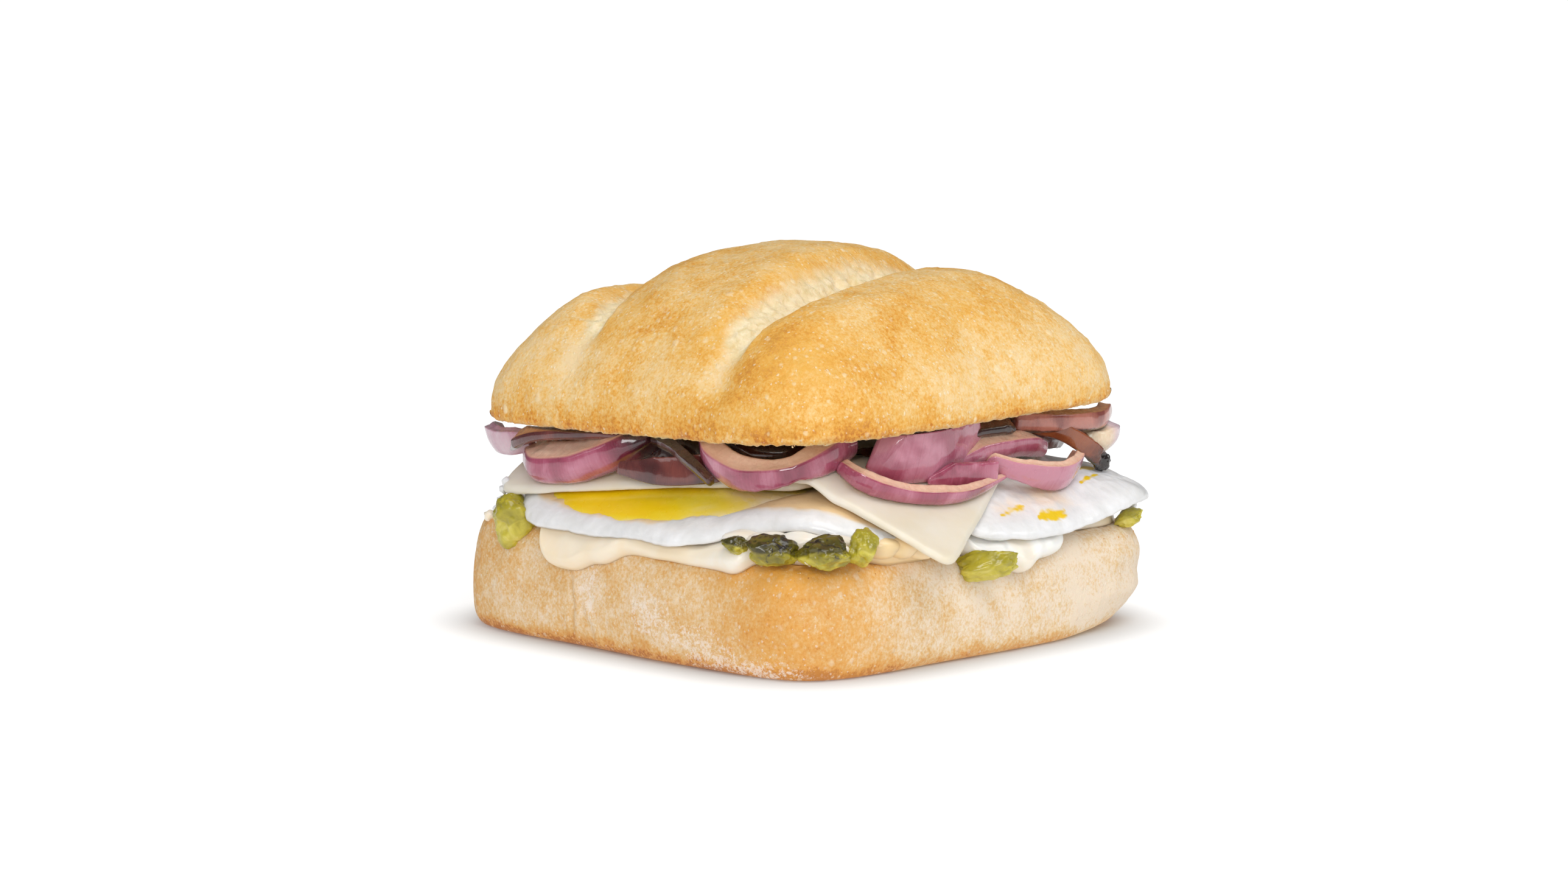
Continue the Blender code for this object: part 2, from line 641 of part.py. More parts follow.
def onion_specs():
    specs = []
    for spec in ONIONS:
        path = [from_corner_view(*p) for p in spec["path"]]
        specs.append((spec["name"], path, spec["height"], spec["wall"], spec["lean"], spec["tone"]))
    for k, (heading, inset, radius, half_arc, lift, height, tone) in enumerate(BACK_ONIONS):
        path = back_path(heading, inset, radius, half_arc, lift)
        specs.append((f"onion_back_{k + 1:02d}", path, height, BACK_WALL, 8, tone))
    return specs


# Chile

def chile(name, centre, radii, turn, tone):
    bm = bmesh.new()
    bmesh.ops.create_icosphere(bm, subdivisions=2, radius=1.0)
    shift = Vector((centre[0] * 0.37, centre[1] * 0.21, 1.7))
    spin = math.radians(turn)
    points = []
    for vert in bm.verts:
        d = vert.co.normalized()
        swell = 1 + 0.5 * noise.noise(d * 1.4 + shift) - 0.3 * abs(noise.noise(d * 2.6 + shift))
        a, b, c = d.x * radii[0] * swell, d.y * radii[1] * swell, d.z * radii[2] * swell
        c += a * math.sin(spin) * 0.25
        points.append(from_corner_view(centre[0] + a, centre[1] + b, centre[2] + c))
    faces = [tuple(v.index for v in face.verts) for face in bm.faces]
    bm.free()
    return make_object(name, points, faces, tone)


# Top half of the roll

def near_line(x, y, line):
    # Signed distance to the score's path, positive on its +X side, and how far along it
    best = None
    total = len(line) - 1
    for k, (a, b) in enumerate(zip(line, line[1:])):
        dx, dy = b[0] - a[0], b[1] - a[1]
        share = ((x - a[0]) * dx + (y - a[1]) * dy) / (dx * dx + dy * dy)
        t = min(max(share, 0.0), 1.0)
        px, py = a[0] + t * dx, a[1] + t * dy
        gap = math.hypot(x - px, y - py)
        side = math.copysign(1.0, (x - px) * dy - (y - py) * dx)
        if best is None or gap < abs(best[0]):
            best = (side * gap, (k + t) / total)
    return best


def score_relief(x, y, rise):
    drop, nearest = 0.0, 100.0
    for line in SCORES:
        gap, along = near_line(x, y, line)
        ends = smoothstep(along, 0.0, 0.22) * (1 - smoothstep(along, 0.82, 1.0))
        left = 1 - smoothstep(-gap, 0.0, SCORE_SOFT_SIDE)
        right = 1 - smoothstep(gap, 0.0, SCORE_LIP_SIDE)
        drop += SCORE_DEPTH * (left if gap < 0 else right) * (0.25 + 0.75 * ends)
        nearest = min(nearest, abs(gap))
    return LOBE_SWELL * smoothstep(nearest, 2.0, 14.0) * smoothstep(rise, 0.4, 0.8) - drop


def score_at(line, y):
    # Where a score's path crosses a given y, carried on straight past its ends
    a, b = (line[0], line[1]) if y < line[1][1] else (line[1], line[2])
    return a[0] + (b[0] - a[0]) * (y - a[1]) / (b[1] - a[1])


def rounded_square(a, b):
    m = max(abs(a), abs(b))
    power = 2.6 + (TOP_POWER - 2.6) * m ** 1.5
    norm = (abs(a) ** power + abs(b) ** power) ** (1 / power)
    scale = m / norm if norm > 0 else 0.0
    return TOP_HALF * a * scale, TOP_HALF * b * scale, math.sqrt(max(1 - m * m, 0.0))


def top_columns(b):
    # Grid columns for one row, bent so that one of them runs along each score
    n = TOP_STEPS
    even = [math.sin(math.pi / 2 * i / n) for i in range(-n, n + 1)]
    stops = [(-1.0, -1.0), (1.0, 1.0)]
    for line, index in zip(SCORES, (SCORE_COLUMN, -SCORE_COLUMN)):
        a = even[n + index]
        for _ in range(20):
            x, y, _rise = rounded_square(a, b)
            a += 0.8 * (score_at(line, y) - x) / TOP_HALF
        stops.append((even[n + index], a))
    stops.sort()
    columns = []
    for value in even:
        k = 0
        while k < len(stops) - 2 and value > stops[k + 1][0]:
            k += 1
        (from_a, to_a), (from_b, to_b) = stops[k], stops[k + 1]
        columns.append(to_a + (to_b - to_a) * (value - from_a) / (from_b - from_a))
    return columns


def roll_top(name):
    n = TOP_STEPS
    points, lookup = [], {}

    def add(key, point):
        lookup[key] = len(points)
        points.append(point)

    for j in range(-n, n + 1):
        b = math.sin(math.pi / 2 * j / n)
        for i, a in enumerate(top_columns(b), -n):
            m = max(abs(a), abs(b))
            x, y, rise = rounded_square(a, b)
            z = top_cut_level(x, y) * (1 - rise) + TOP_BASE * rise + 2.2 + (TOP_RISE - 2.2) * rise
            angle = math.atan2(y, x)
            swell = 1 + 0.012 * math.sin(3 * angle + 1) * m
            z += score_relief(x, y, rise) * smoothstep(rise, 0.05, 0.55)
            add((i, j), Vector((x * swell + TOP_SHIFT, y * swell + TOP_SHIFT, z)))

    faces = []
    for j in range(-n, n):
        for i in range(-n, n):
            faces.append((lookup[i, j], lookup[i + 1, j], lookup[i + 1, j + 1], lookup[i, j + 1]))
    edge = [(i, -n) for i in range(-n, n)] + [(n, j) for j in range(-n, n)]
    edge += [(i, n) for i in range(n, -n, -1)] + [(-n, j) for j in range(n, -n, -1)]
    lip = []
    for i, j in edge:
        p = points[lookup[i, j]]
        inner = p * 0.985
        add(("lip", i, j), Vector((inner.x, inner.y, top_cut_level(inner.x, inner.y))))
        lip.append(lookup["lip", i, j])
    for k, key in enumerate(edge):
        after = (k + 1) % len(edge)
        faces.append((lookup[key], lookup[edge[after]], lip[after], lip[k]))
    faces.append(tuple(lip))
    return make_object(name, points, faces, "crust")


# The whole sandwich

def layer_guards(grow):
    # Swollen copies that keep a piece clear of its neighbours when they are cut out of it
    return [roll_bottom("guard_roll", grow), egg("guard_left", EGG_LEFT, 1, grow),
            egg("guard_right", EGG_RIGHT, -1, grow)]


def build():
    for obj in list(bpy.data.objects):
        bpy.data.objects.remove(obj)

    roll_bottom("roll_bottom")
    roll_top("roll_top")
    egg_left = egg("egg_left", EGG_LEFT, 1)
    egg("egg_right", EGG_RIGHT, -1)
    guards = layer_guards(GAP)
    carve(sauce("sauce"), guards)
    discard(guards)
    yolk("yolk_left")
    pocket = yolk("yolk_pocket", grow=GAP, open_top=True)
    carve(egg_left, [pocket])
    discard([pocket])

    cheese("cheese_1", CHEESE_1, False)
    cheese("cheese_2", CHEESE_2, True)

    guards = layer_guards(DRAPE_GAP) + [sauce("guard_sauce", DRAPE_GAP)]
    for name, centre, radii, turn, tone in CHILES:
        piece = chile(name, centre, radii, turn, "charred" if tone == "dark" else tone)
        carve(piece, guards)
    discard(guards)

    before = []
    for spec in onion_specs():
        piece = onion(*spec)
        near = [g for g in before if boxes_meet(piece, g)]
        if near:
            carve(piece, near)
        before.append(onion("guard_" + spec[0], *spec[1:], grow=GAP))
    discard(before)


def boxes_meet(one, other):
    def corners(obj):
        points = [v.co for v in obj.data.vertices]
        return ([min(p[k] for p in points) for k in range(3)],
                [max(p[k] for p in points) for k in range(3)])
    low_a, high_a = corners(one)
    low_b, high_b = corners(other)
    return all(low_a[k] < high_b[k] and low_b[k] < high_a[k] for k in range(3))


build()
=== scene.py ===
import math

import bmesh
import bpy
import numpy as np
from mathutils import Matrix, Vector


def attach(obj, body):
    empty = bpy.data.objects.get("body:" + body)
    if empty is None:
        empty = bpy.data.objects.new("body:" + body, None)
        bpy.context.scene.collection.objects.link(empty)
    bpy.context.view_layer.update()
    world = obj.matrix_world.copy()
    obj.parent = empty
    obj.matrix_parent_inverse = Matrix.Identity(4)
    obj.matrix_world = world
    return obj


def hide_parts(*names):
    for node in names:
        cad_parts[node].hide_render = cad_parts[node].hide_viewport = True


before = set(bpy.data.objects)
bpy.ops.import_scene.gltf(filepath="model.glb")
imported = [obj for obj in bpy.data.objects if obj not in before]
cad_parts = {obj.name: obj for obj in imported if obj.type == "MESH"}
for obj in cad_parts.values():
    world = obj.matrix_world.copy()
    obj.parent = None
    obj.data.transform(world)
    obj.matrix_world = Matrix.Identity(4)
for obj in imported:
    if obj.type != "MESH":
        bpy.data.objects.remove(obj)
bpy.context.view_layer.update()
mm = 0.001  # every size below is in millimetres


# Curves, ramps and unevenness, for whole arrays of points at once

def softStep(value, low, high):
    t = np.clip((value - low) / (high - low), 0, 1)
    return t * t * (3 - 2 * t)


def softRamp(value, width):
    value = np.maximum(value, 0)
    return np.where(value < width, value * value / (2 * width), value - width / 2)


def plateau(angle, centre, half, soft):
    off = np.abs((angle - centre + 180) % 360 - 180)
    return 1 - softStep(off, half - soft / 2, half + soft / 2)


def hill(points, centre, sizes):
    # 1 in the middle, 0 a few sizes away
    away = (points - np.array(centre)) / np.array(sizes)
    return np.exp(-(away ** 2).sum(-1))


def scramble(cells, seed):
    h = cells[..., 0] * 73856093 ^ cells[..., 1] * 19349663 ^ cells[..., 2] * 83492791 ^ seed * 26544357
    h = (h ^ (h >> 13)) * 1274126177 & 0x7FFFFFFF
    h = (h ^ (h >> 15)) * 668265263 & 0x7FFFFFFF
    return ((h ^ (h >> 12)) & 0xFFFF) / 65535


def uneven(points, size, seed=0):
    # Smooth hills and hollows about one size apart, from -1 to 1
    q = points / size
    cell = np.floor(q).astype(np.int64)
    f = q - cell
    u = f * f * f * (f * (f * 6 - 15) + 10)
    total = 0
    for i in (0, 1):
        for j in (0, 1):
            for k in (0, 1):
                step = np.array((i, j, k))
                slope = [scramble(cell + step, seed * 3 + n) * 2 - 1 for n in range(3)]
                value = sum(slope[n] * (f[..., n] - step[n]) for n in range(3))
                share = np.where(step == 1, u, 1 - u).prod(-1)
                total = total + value * share
    return total * 1.7


def layered(points, size, seed=0, layers=3):
    return sum(uneven(points, size / 2 ** n, seed + 7 * n) / 2 ** n for n in range(layers)) / 1.4


def rough(points, amount, seed, layers=3):
    # amount holds the depth and the width of the hills
    return amount[0] * layered(points, amount[1], seed, layers)


def dots(points, size, seed=0):
    # Distance to the nearest scattered dot, and that dot's own random number
    q = points / size
    cell = np.floor(q).astype(np.int64)
    best = np.full(points.shape[:-1], 9.0)
    number = np.zeros(points.shape[:-1])
    for i in (-1, 0, 1):
        for j in (-1, 0, 1):
            for k in (-1, 0, 1):
                near = cell + np.array((i, j, k))
                spot = near + np.stack([scramble(near, seed * 5 + n) for n in range(3)], -1)
                gap = np.sqrt(((q - spot) ** 2).sum(-1))
                closer = gap < best
                best = np.where(closer, gap, best)
                number = np.where(closer, scramble(near, seed * 5 + 4), number)
    return best * size, number


def blisterDots(points, size, seed, inner, outer, growth, share):
    # Round blisters of different widths; share is the part of the dots that has none
    gap, number = dots(points, size, seed)
    return (1 - softStep(gap, inner, outer + growth * number)) * (number > share)


def curveThrough(points, count):
    p = np.array(points, float)
    ends = np.vstack([2 * p[0] - p[1], p, 2 * p[-1] - p[-2]])
    t = np.linspace(0, len(p) - 1, count)
    k = np.minimum(t.astype(int), len(p) - 2)
    f = (t - k)[:, None]
    a, b, c, d = ends[k], ends[k + 1], ends[k + 2], ends[k + 3]
    return 0.5 * (2 * b + (c - a) * f + (2 * a - 5 * b + 4 * c - d) * f * f
                  + (3 * b - a - 3 * c + d) * f ** 3)


def seenFromCorner(across, away, up):
    # The near corner's view, turned into the sandwich's own axes
    root = math.sqrt(2)
    return np.stack([(across - away) / root, (across + away) / root, np.asarray(up, float)], -1)


# Making meshes

def slopeNormals(grid, closed):
    # Normals of a grid of points; closed when its rows run right round
    down = np.gradient(grid, axis=0)
    if closed:
        along = (np.roll(grid, -1, axis=1) - np.roll(grid, 1, axis=1)) / 2
    else:
        along = np.gradient(grid, axis=1)
    normal = np.cross(along, down)
    return normal / np.maximum(np.linalg.norm(normal, axis=-1, keepdims=True), 1e-9)


def ringFaces(rows, columns, start=0):
    i, j = np.meshgrid(np.arange(rows - 1), np.arange(columns), indexing="ij")
    after = (j + 1) % columns
    quads = np.stack([i * columns + j, i * columns + after,
                      (i + 1) * columns + after, (i + 1) * columns + j], -1)
    return (quads.reshape(-1, 4) + start).tolist()


def closeRings(rings):
    # Rings of points joined into one closed skin, with a fan at each end
    rows, columns, _ = rings.shape
    points = np.vstack([rings.reshape(-1, 3), rings[0].mean(0), rings[-1].mean(0)])
    faces = ringFaces(rows, columns)
    start, end, last = rows * columns, rows * columns + 1, (rows - 1) * columns
    for j in range(columns):
        after = (j + 1) % columns
        faces.append([start, after, j])
        faces.append([end, last + j, last + after])
    return points, faces


def volumeOf(points, faces):
    total = 0.0
    for size in (3, 4):
        group = np.array([f for f in faces if len(f) == size])
        if len(group):
            for k in range(1, size - 1):
                a, b, c = points[group[:, 0]], points[group[:, k]], points[group[:, k + 1]]
                total += (a * np.cross(b, c)).sum()
    return total


def joined(words):
    return "".join(word.capitalize() for word in words.split("_"))


def makePiece(name, points, faces, material, nodes=(), masks=None):
    if volumeOf(points, faces) < 0:
        faces = [face[::-1] for face in faces]
    mesh = bpy.data.meshes.new(name)
    mesh.from_pydata((points * mm).tolist(), [], faces)
    for maskName, values in (masks or {}).items():
        layer = mesh.attributes.new(maskName, "FLOAT", "POINT")
        layer.data.foreach_set("value", np.asarray(values, np.float32).ravel())
    mesh.materials.append(material)
    mesh.shade_smooth()
    piece = bpy.data.objects.new(name, mesh)
    bpy.context.scene.collection.objects.link(piece)
    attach(piece, "root")
    if nodes:
        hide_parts(*nodes)
    return piece


def makeRinged(name, rings, material, nodes=(), masks=None):
    points, faces = closeRings(rings)
    full = {}
    for maskName, values in (masks or {}).items():
        full[maskName] = np.concatenate([values.ravel(), [values[0].mean(), values[-1].mean()]])
    return makePiece(name, points, faces, material, nodes, full)


# Shader building

def paint(red, green, blue):
    # A colour given the way it looks, 0 to 255, turned into light
    return tuple((v / 255 / 12.92 if v < 10.3 else ((v / 255 + 0.055) / 1.055) ** 2.4)
                 for v in (red, green, blue)) + (1.0,)


def paintAll(colours):
    # The same for a list of colours, or for each of those that a dictionary names
    if isinstance(colours, dict):
        return {name: paintAll(colour) for name, colour in colours.items()}
    return [paint(*colour) for colour in colours] if isinstance(colours, list) else paint(*colours)


def addNode(tree, kind, inputs=None, **settings):
    made = tree.nodes.new(kind)
    for key, value in settings.items():
        setattr(made, key, value)
    for key, value in (inputs or {}).items():
        if isinstance(value, bpy.types.NodeSocket):
            tree.links.new(value, made.inputs[key])
        else:
            made.inputs[key].default_value = value
    return made


def calc(tree, operation, a, b=0.0, clamp=False):
    return addNode(tree, "ShaderNodeMath", {0: a, 1: b}, operation=operation, use_clamp=clamp).outputs[0]


def plus(tree, a, b, clamp=False):
    return calc(tree, "ADD", a, b, clamp)


def times(tree, a, b):
    return calc(tree, "MULTIPLY", a, b)


def total(tree, parts):
    soFar = parts[0]
    for part in parts[1:]:
        soFar = plus(tree, soFar, part)
    return soFar


def stretched(tree, vector, amounts):
    return addNode(tree, "ShaderNodeVectorMath", {0: vector, 1: amounts}, operation="MULTIPLY").outputs[0]


def mixColour(tree, factor, a, b):
    made = addNode(tree, "ShaderNodeMix", {0: factor, 6: a, 7: b}, data_type="RGBA", blend_type="MIX")
    return made.outputs[2]


def remap(tree, value, low, high, toLow=0.0, toHigh=1.0):
    inputs = {"Value": value, "From Min": low, "From Max": high, "To Min": toLow, "To Max": toHigh}
    return addNode(tree, "ShaderNodeMapRange", inputs, interpolation_type="SMOOTHSTEP").outputs[0]


def sway(tree, noise, amount, low=0.3, high=0.7):
    # A noise turned into plus or minus an amount
    return remap(tree, noise, low, high, -amount, amount)


def cloudOf(tree, vector, scale, detail, rough=0.5, twist=0.0):
    inputs = {"Vector": vector, "Scale": scale, "Detail": detail, "Roughness": rough, "Distortion": twist}
    return addNode(tree, "ShaderNodeTexNoise", inputs).outputs


def noiseOf(tree, vector, size, detail=3.0, rough=0.55, twist=0.0):
    # size is the width of one hill in millimetres
    return cloudOf(tree, vector, 1000 / size, detail, rough, twist)["Fac"]


def maskOf(tree, name):
    return addNode(tree, "ShaderNodeAttribute", attribute_name=name).outputs["Fac"]


def rampOf(tree, factor, stops):
    made = addNode(tree, "ShaderNodeValToRGB", {"Fac": factor})
    elements = made.color_ramp.elements
    for k, (position, colour) in enumerate(stops):
        element = elements[k] if k < 2 else elements.new(position)
        element.position = position
        element.color = colour
    return made.outputs["Color"]


def bumpOf(tree, height, depth, strength=1.0):
    # depth in millimetres
    inputs = {"Height": height, "Distance": depth * mm, "Strength": strength}
    return addNode(tree, "ShaderNodeBump", inputs).outputs["Normal"]


def startGroup(name, wants, gives):
    # wants holds each input with its usual value, None for a vector; gives holds the outputs
    group = bpy.data.node_groups.new(name, "ShaderNodeTree")
    for label, value in wants.items():
        kind = "NodeSocketVector" if value is None else "NodeSocketFloat"
        socket = group.interface.new_socket(label, in_out="INPUT", socket_type=kind)
        if value is not None:
            socket.default_value = value
    for label in gives:
        group.interface.new_socket(label, in_out="OUTPUT", socket_type="NodeSocketFloat")
    return group, group.nodes.new("NodeGroupInput").outputs, group.nodes.new("NodeGroupOutput").inputs


def place(tree, group, **inputs):
    made = tree.nodes.new("ShaderNodeGroup")
    made.node_tree = group
    for label, value in inputs.items():
        if isinstance(value, bpy.types.NodeSocket):
            tree.links.new(value, made.inputs[label])
        else:
            made.inputs[label].default_value = value
    return made.outputs


def startMaterial(name, settings):
    mat = bpy.data.materials.new(name)
    mat.use_nodes = True
    shader = mat.node_tree.nodes["Principled BSDF"]
    for label, value in settings.items():
        shader.inputs[label].default_value = value
    return mat, mat.node_tree, shader


def here(tree):
    return addNode(tree, "ShaderNodeTexCoord").outputs["Object"]


def wire(tree, shader, **sockets):
    for label, socket in sockets.items():
        tree.links.new(socket, shader.inputs[label.replace("_", " ")])


# Effects that several finishes share

def makeBlisterGroup():
    # Round pale specks of one size with ragged edges, as on baked crust
    group, given, out = startGroup("crustBlisters",
                                   {"Vector": None, "Scale": 400.0, "Share": 0.5, "Largest": 0.4},
                                   ("Mask", "Height"))
    ragged = cloudOf(group, given["Vector"], 1500.0, 2.0)
    nudge = stretched(group, ragged["Color"], (0.0005,) * 3)  # half a millimetre
    moved = addNode(group, "ShaderNodeVectorMath", {0: given["Vector"], 1: nudge}, operation="ADD")
    cells = addNode(group, "ShaderNodeTexVoronoi", {"Vector": moved.outputs[0], "Scale": given["Scale"]})
    parts = addNode(group, "ShaderNodeSeparateColor", {0: cells.outputs["Color"]}).outputs
    radius = times(group, calc(group, "POWER", parts[0], 1.6), given["Largest"])
    depth = calc(group, "SUBTRACT", radius, cells.outputs["Distance"])
    kept = calc(group, "LESS_THAN", parts[1], given["Share"])
    group.links.new(times(group, remap(group, depth, -0.02, 0.14), kept), out["Mask"])
    group.links.new(times(group, remap(group, depth, -0.02, 0.25), kept), out["Height"])
    return group


def makeDustGroup():
    # Fine dust, such as flour: denser where Amount is high
    group, given, out = startGroup("fineDust", {"Vector": None, "Amount": 0.0}, ("Mask",))
    fine = cloudOf(group, given["Vector"], 1700.0, 4.0, 0.75)["Fac"]
    clumps = cloudOf(group, given["Vector"], 380.0, 4.0, 0.65)["Fac"]
    both = plus(group, times(group, fine, 0.62), times(group, clumps, 0.38))
    dense = plus(group, both, times(group, given["Amount"], 0.12))
    group.links.new(remap(group, dense, 0.56, 0.66), out["Mask"])
    return group


def makeWetGroup():
    # Slight unevenness of a smooth moist surface
    group, given, out = startGroup("moistSurface",
                                   {"Vector": None, "Size": 300.0, "Gloss": 0.25, "Spread": 0.15},
                                   ("Height", "Roughness"))
    broad = cloudOf(group, given["Vector"], given["Size"], 4.0)["Fac"]
    tight = cloudOf(group, given["Vector"], 1600.0, 2.0)["Fac"]
    group.links.new(plus(group, broad, times(group, tight, 0.12)), out["Height"])
    group.links.new(plus(group, given["Gloss"], times(group, broad, given["Spread"])), out["Roughness"])
    return group


def makeCharGroup():
    # Burnt blots, more of them where Amount is high
    group, given, out = startGroup("charBlots", {"Vector": None, "Amount": 0.0}, ("Mask",))
    blots = cloudOf(group, given["Vector"], 420.0, 6.0, 0.65, 0.6)["Fac"]
    total = plus(group, blots, times(group, given["Amount"], 0.5))
    group.links.new(remap(group, total, 0.70, 0.82), out["Mask"])
    return group


blisterGroup = makeBlisterGroup()
dustGroup = makeDustGroup()
wetGroup = makeWetGroup()
charGroup = makeCharGroup()
print("shared effects ready")


def addMoisture(tree, shader, look):
    # The small unevenness and the gloss of a wet surface
    wet = place(tree, wetGroup, Vector=here(tree), **look["surface"])
    wire(tree, shader, Normal=bumpOf(tree, wet["Height"], *look["bump"]), Roughness=wet["Roughness"])


# Finish of the roll

crustLook = {
    "shader": {"Specular IOR Level": 0.3, "Subsurface Weight": 0.06, "Subsurface Scale": 0.0015},
    "drawnOut": (1.0, 1.0, 0.88),  # up and down, as dough is where it has risen
    # width of a hill in millimetres, detail, roughness and twist
    "drift": (8.0, 4.0, 0.6), "mottle": (1.7, 5.0, 0.68), "grain": (0.6, 3.0, 0.65),
    "crumb": (1.9, 6.0, 0.65, 0.8),
    "driftBrowns": 0.15, "mottleBrowns": 0.11, "grainBrowns": 0.19,
    "browningStops": (0.0, 0.3, 0.55, 0.8, 1.0),
    "largeBlisters": {"Scale": 270.0, "Share": 0.6, "Largest": 0.3},
    "mediumBlisters": {"Scale": 640.0, "Share": 0.8, "Largest": 0.42},
    "smallBlisters": {"Scale": 1250.0, "Share": 0.7, "Largest": 0.42},
    "paleness": {"large": 0.8, "medium": 0.6, "small": 0.5},
    "heights": {"large": 0.6, "medium": 0.4, "small": 0.3, "mottle": 0.9, "grain": 0.35},
    "bump": (0.3, 0.85), "roughness": (0.42, 0.66), "flourCover": (0.06, 0.72),
}
topCrustColours = {
    "crust": [(244, 217, 170), (241, 205, 142), (235, 184, 100), (224, 154, 54), (196, 118, 44)],
    "golden": (236, 180, 80), "speck": (250, 228, 186), "spark": (255, 242, 212),
    "crumb": (246, 230, 194), "crumbDark": (224, 202, 148), "flour": (248, 234, 216),
}
bottomCrustColours = {
    "crust": [(238, 220, 196), (229, 198, 152), (221, 174, 110), (216, 154, 84), (178, 108, 56)],
    "golden": (236, 170, 72), "speck": (240, 216, 184), "spark": (250, 234, 212),
    "crumb": (242, 222, 180), "crumbDark": (218, 192, 132), "flour": (246, 232, 218),
}


def makeCrust(name, colours):
    # Browned crust with blisters; masks from the mesh say where it is brown, golden, split or floury
    look, colours = crustLook, paintAll(colours)
    mat, tree, shader = startMaterial(name, look["shader"])
    spot = here(tree)
    hanging = stretched(tree, spot, look["drawnOut"])
    drift = noiseOf(tree, spot, *look["drift"])
    mottle = noiseOf(tree, hanging, *look["mottle"])
    grain = noiseOf(tree, hanging, *look["grain"])
    brown = plus(tree, maskOf(tree, "browning"), sway(tree, drift, look["driftBrowns"]))
    brown = plus(tree, brown, sway(tree, mottle, look["mottleBrowns"], 0.32, 0.68))
    brown = plus(tree, brown, sway(tree, grain, look["grainBrowns"]), True)
    crust = rampOf(tree, brown, zip(look["browningStops"], colours["crust"]))
    yellow = times(tree, maskOf(tree, "golden"), remap(tree, mottle, 0.3, 0.6, 0.55, 1.0))
    crust = mixColour(tree, yellow, crust, colours["golden"])
    blisters = {size: place(tree, blisterGroup, Vector=hanging, **look[size + "Blisters"])
                for size in ("large", "medium", "small")}
    pale = {size: times(tree, sockets["Mask"], look["paleness"][size]) for size,
            sockets in blisters.items()}
    specks = calc(tree, "MAXIMUM", pale["large"], pale["medium"])
    specks = times(tree, specks, remap(tree, drift, 0.3, 0.6, 1.0, 0.6))
    crust = mixColour(tree, specks, crust, colours["speck"])
    # painted glints: the smallest blisters take a near-white colour as painted highlights, besides their real
    # raised bumps
    crust = mixColour(tree, pale["small"], crust, colours["spark"])
    crumb = rampOf(tree, noiseOf(tree, spot, *look["crumb"]),
                   [(0.3, colours["crumbDark"]), (0.62, colours["crumb"])])
    colour = mixColour(tree, maskOf(tree, "opened"), crust, crumb)
    flour = place(tree, dustGroup, Vector=spot, Amount=maskOf(tree, "flour"))
    cover = remap(tree, maskOf(tree, "flour"), 0.05, 0.6, *look["flourCover"])
    colour = mixColour(tree, times(tree, flour["Mask"], cover), colour, colours["flour"])
    layers = {size: sockets["Height"] for size, sockets in blisters.items()} | {"mottle": mottle,
                                                                                "grain": grain}
    raised = total(tree, [times(tree, height, look["heights"][kind]) for kind, height in layers.items()])
    wire(tree, shader, Base_Color=colour, Normal=bumpOf(tree, raised, *look["bump"]),
         Roughness=remap(tree, mottle, 0.3, 0.7, *look["roughness"]))
    return mat


topCrust = makeCrust("goldenCrust", topCrustColours)
bottomCrust = makeCrust("paleFlouredCrust", bottomCrustColours)


# Finish of the onion

onionLook = {
    "shader": {"Subsurface Weight": 0.2, "Subsurface Scale": 0.002, "Subsurface Radius": (1.0, 0.35, 0.45),
               "Coat Roughness": 0.07, "Coat IOR": 1.65, "Specular IOR Level": 0.4},
    "drift": (9.0, 3.0, 0.5, 0.4), "fibres": (1.1, 4.0, 0.7), "toastBlots": (2.6, 5.0, 0.65),
    "veinRun": 1.3, "veinRise": 0.5, "veins": (1.6, 4.0, 0.6),
    "skinStops": (0.12, 0.36, 0.62, 0.95), "skinTone": (0.16, 0.6), "footTone": 0.14, "veinTone": 0.035,
    "surface": {"Size": 260.0, "Gloss": 0.2, "Spread": 0.14}, "bump": (0.5, 0.6), "coat": (0.3, 1.0),
}
onionColours = {
    "purple": {"skin": [(204, 132, 154), (170, 80, 106), (124, 40, 64), (62, 16, 28)],
               "flesh": (238, 198, 174),
               "fleshDark": (216, 164, 142), "toast": (140, 74, 52), "burnt": (34, 16, 12)},
    "brown": {"skin": [(190, 120, 104), (134, 68, 60), (92, 38, 38), (46, 18, 16)],
              "flesh": (206, 150, 104),
              "fleshDark": (156, 96, 58), "toast": (96, 44, 22), "burnt": (28, 13, 10)},
    "dark": {"skin": [(96, 46, 32), (66, 27, 18), (40, 15, 9), (18, 7, 5)], "flesh": (120, 68, 38),
             "fleshDark": (70, 33, 18), "toast": (46, 20, 10), "burnt": (16, 7, 5)},
    "amber": {"skin": [(160, 86, 40), (128, 60, 24), (92, 38, 14), (46, 16, 8)], "flesh": (224, 168, 98),
              "fleshDark": (172, 108, 54), "toast": (84, 36, 14), "burnt": (24, 12, 8)},
    "pale": {"skin": [(232, 212, 216), (214, 184, 194), (190, 140, 160), (142, 80, 104)],
             "flesh": (240, 220, 192),
             "fleshDark": (220, 184, 144), "toast": (172, 116, 72), "burnt": (50, 24, 18)},
}


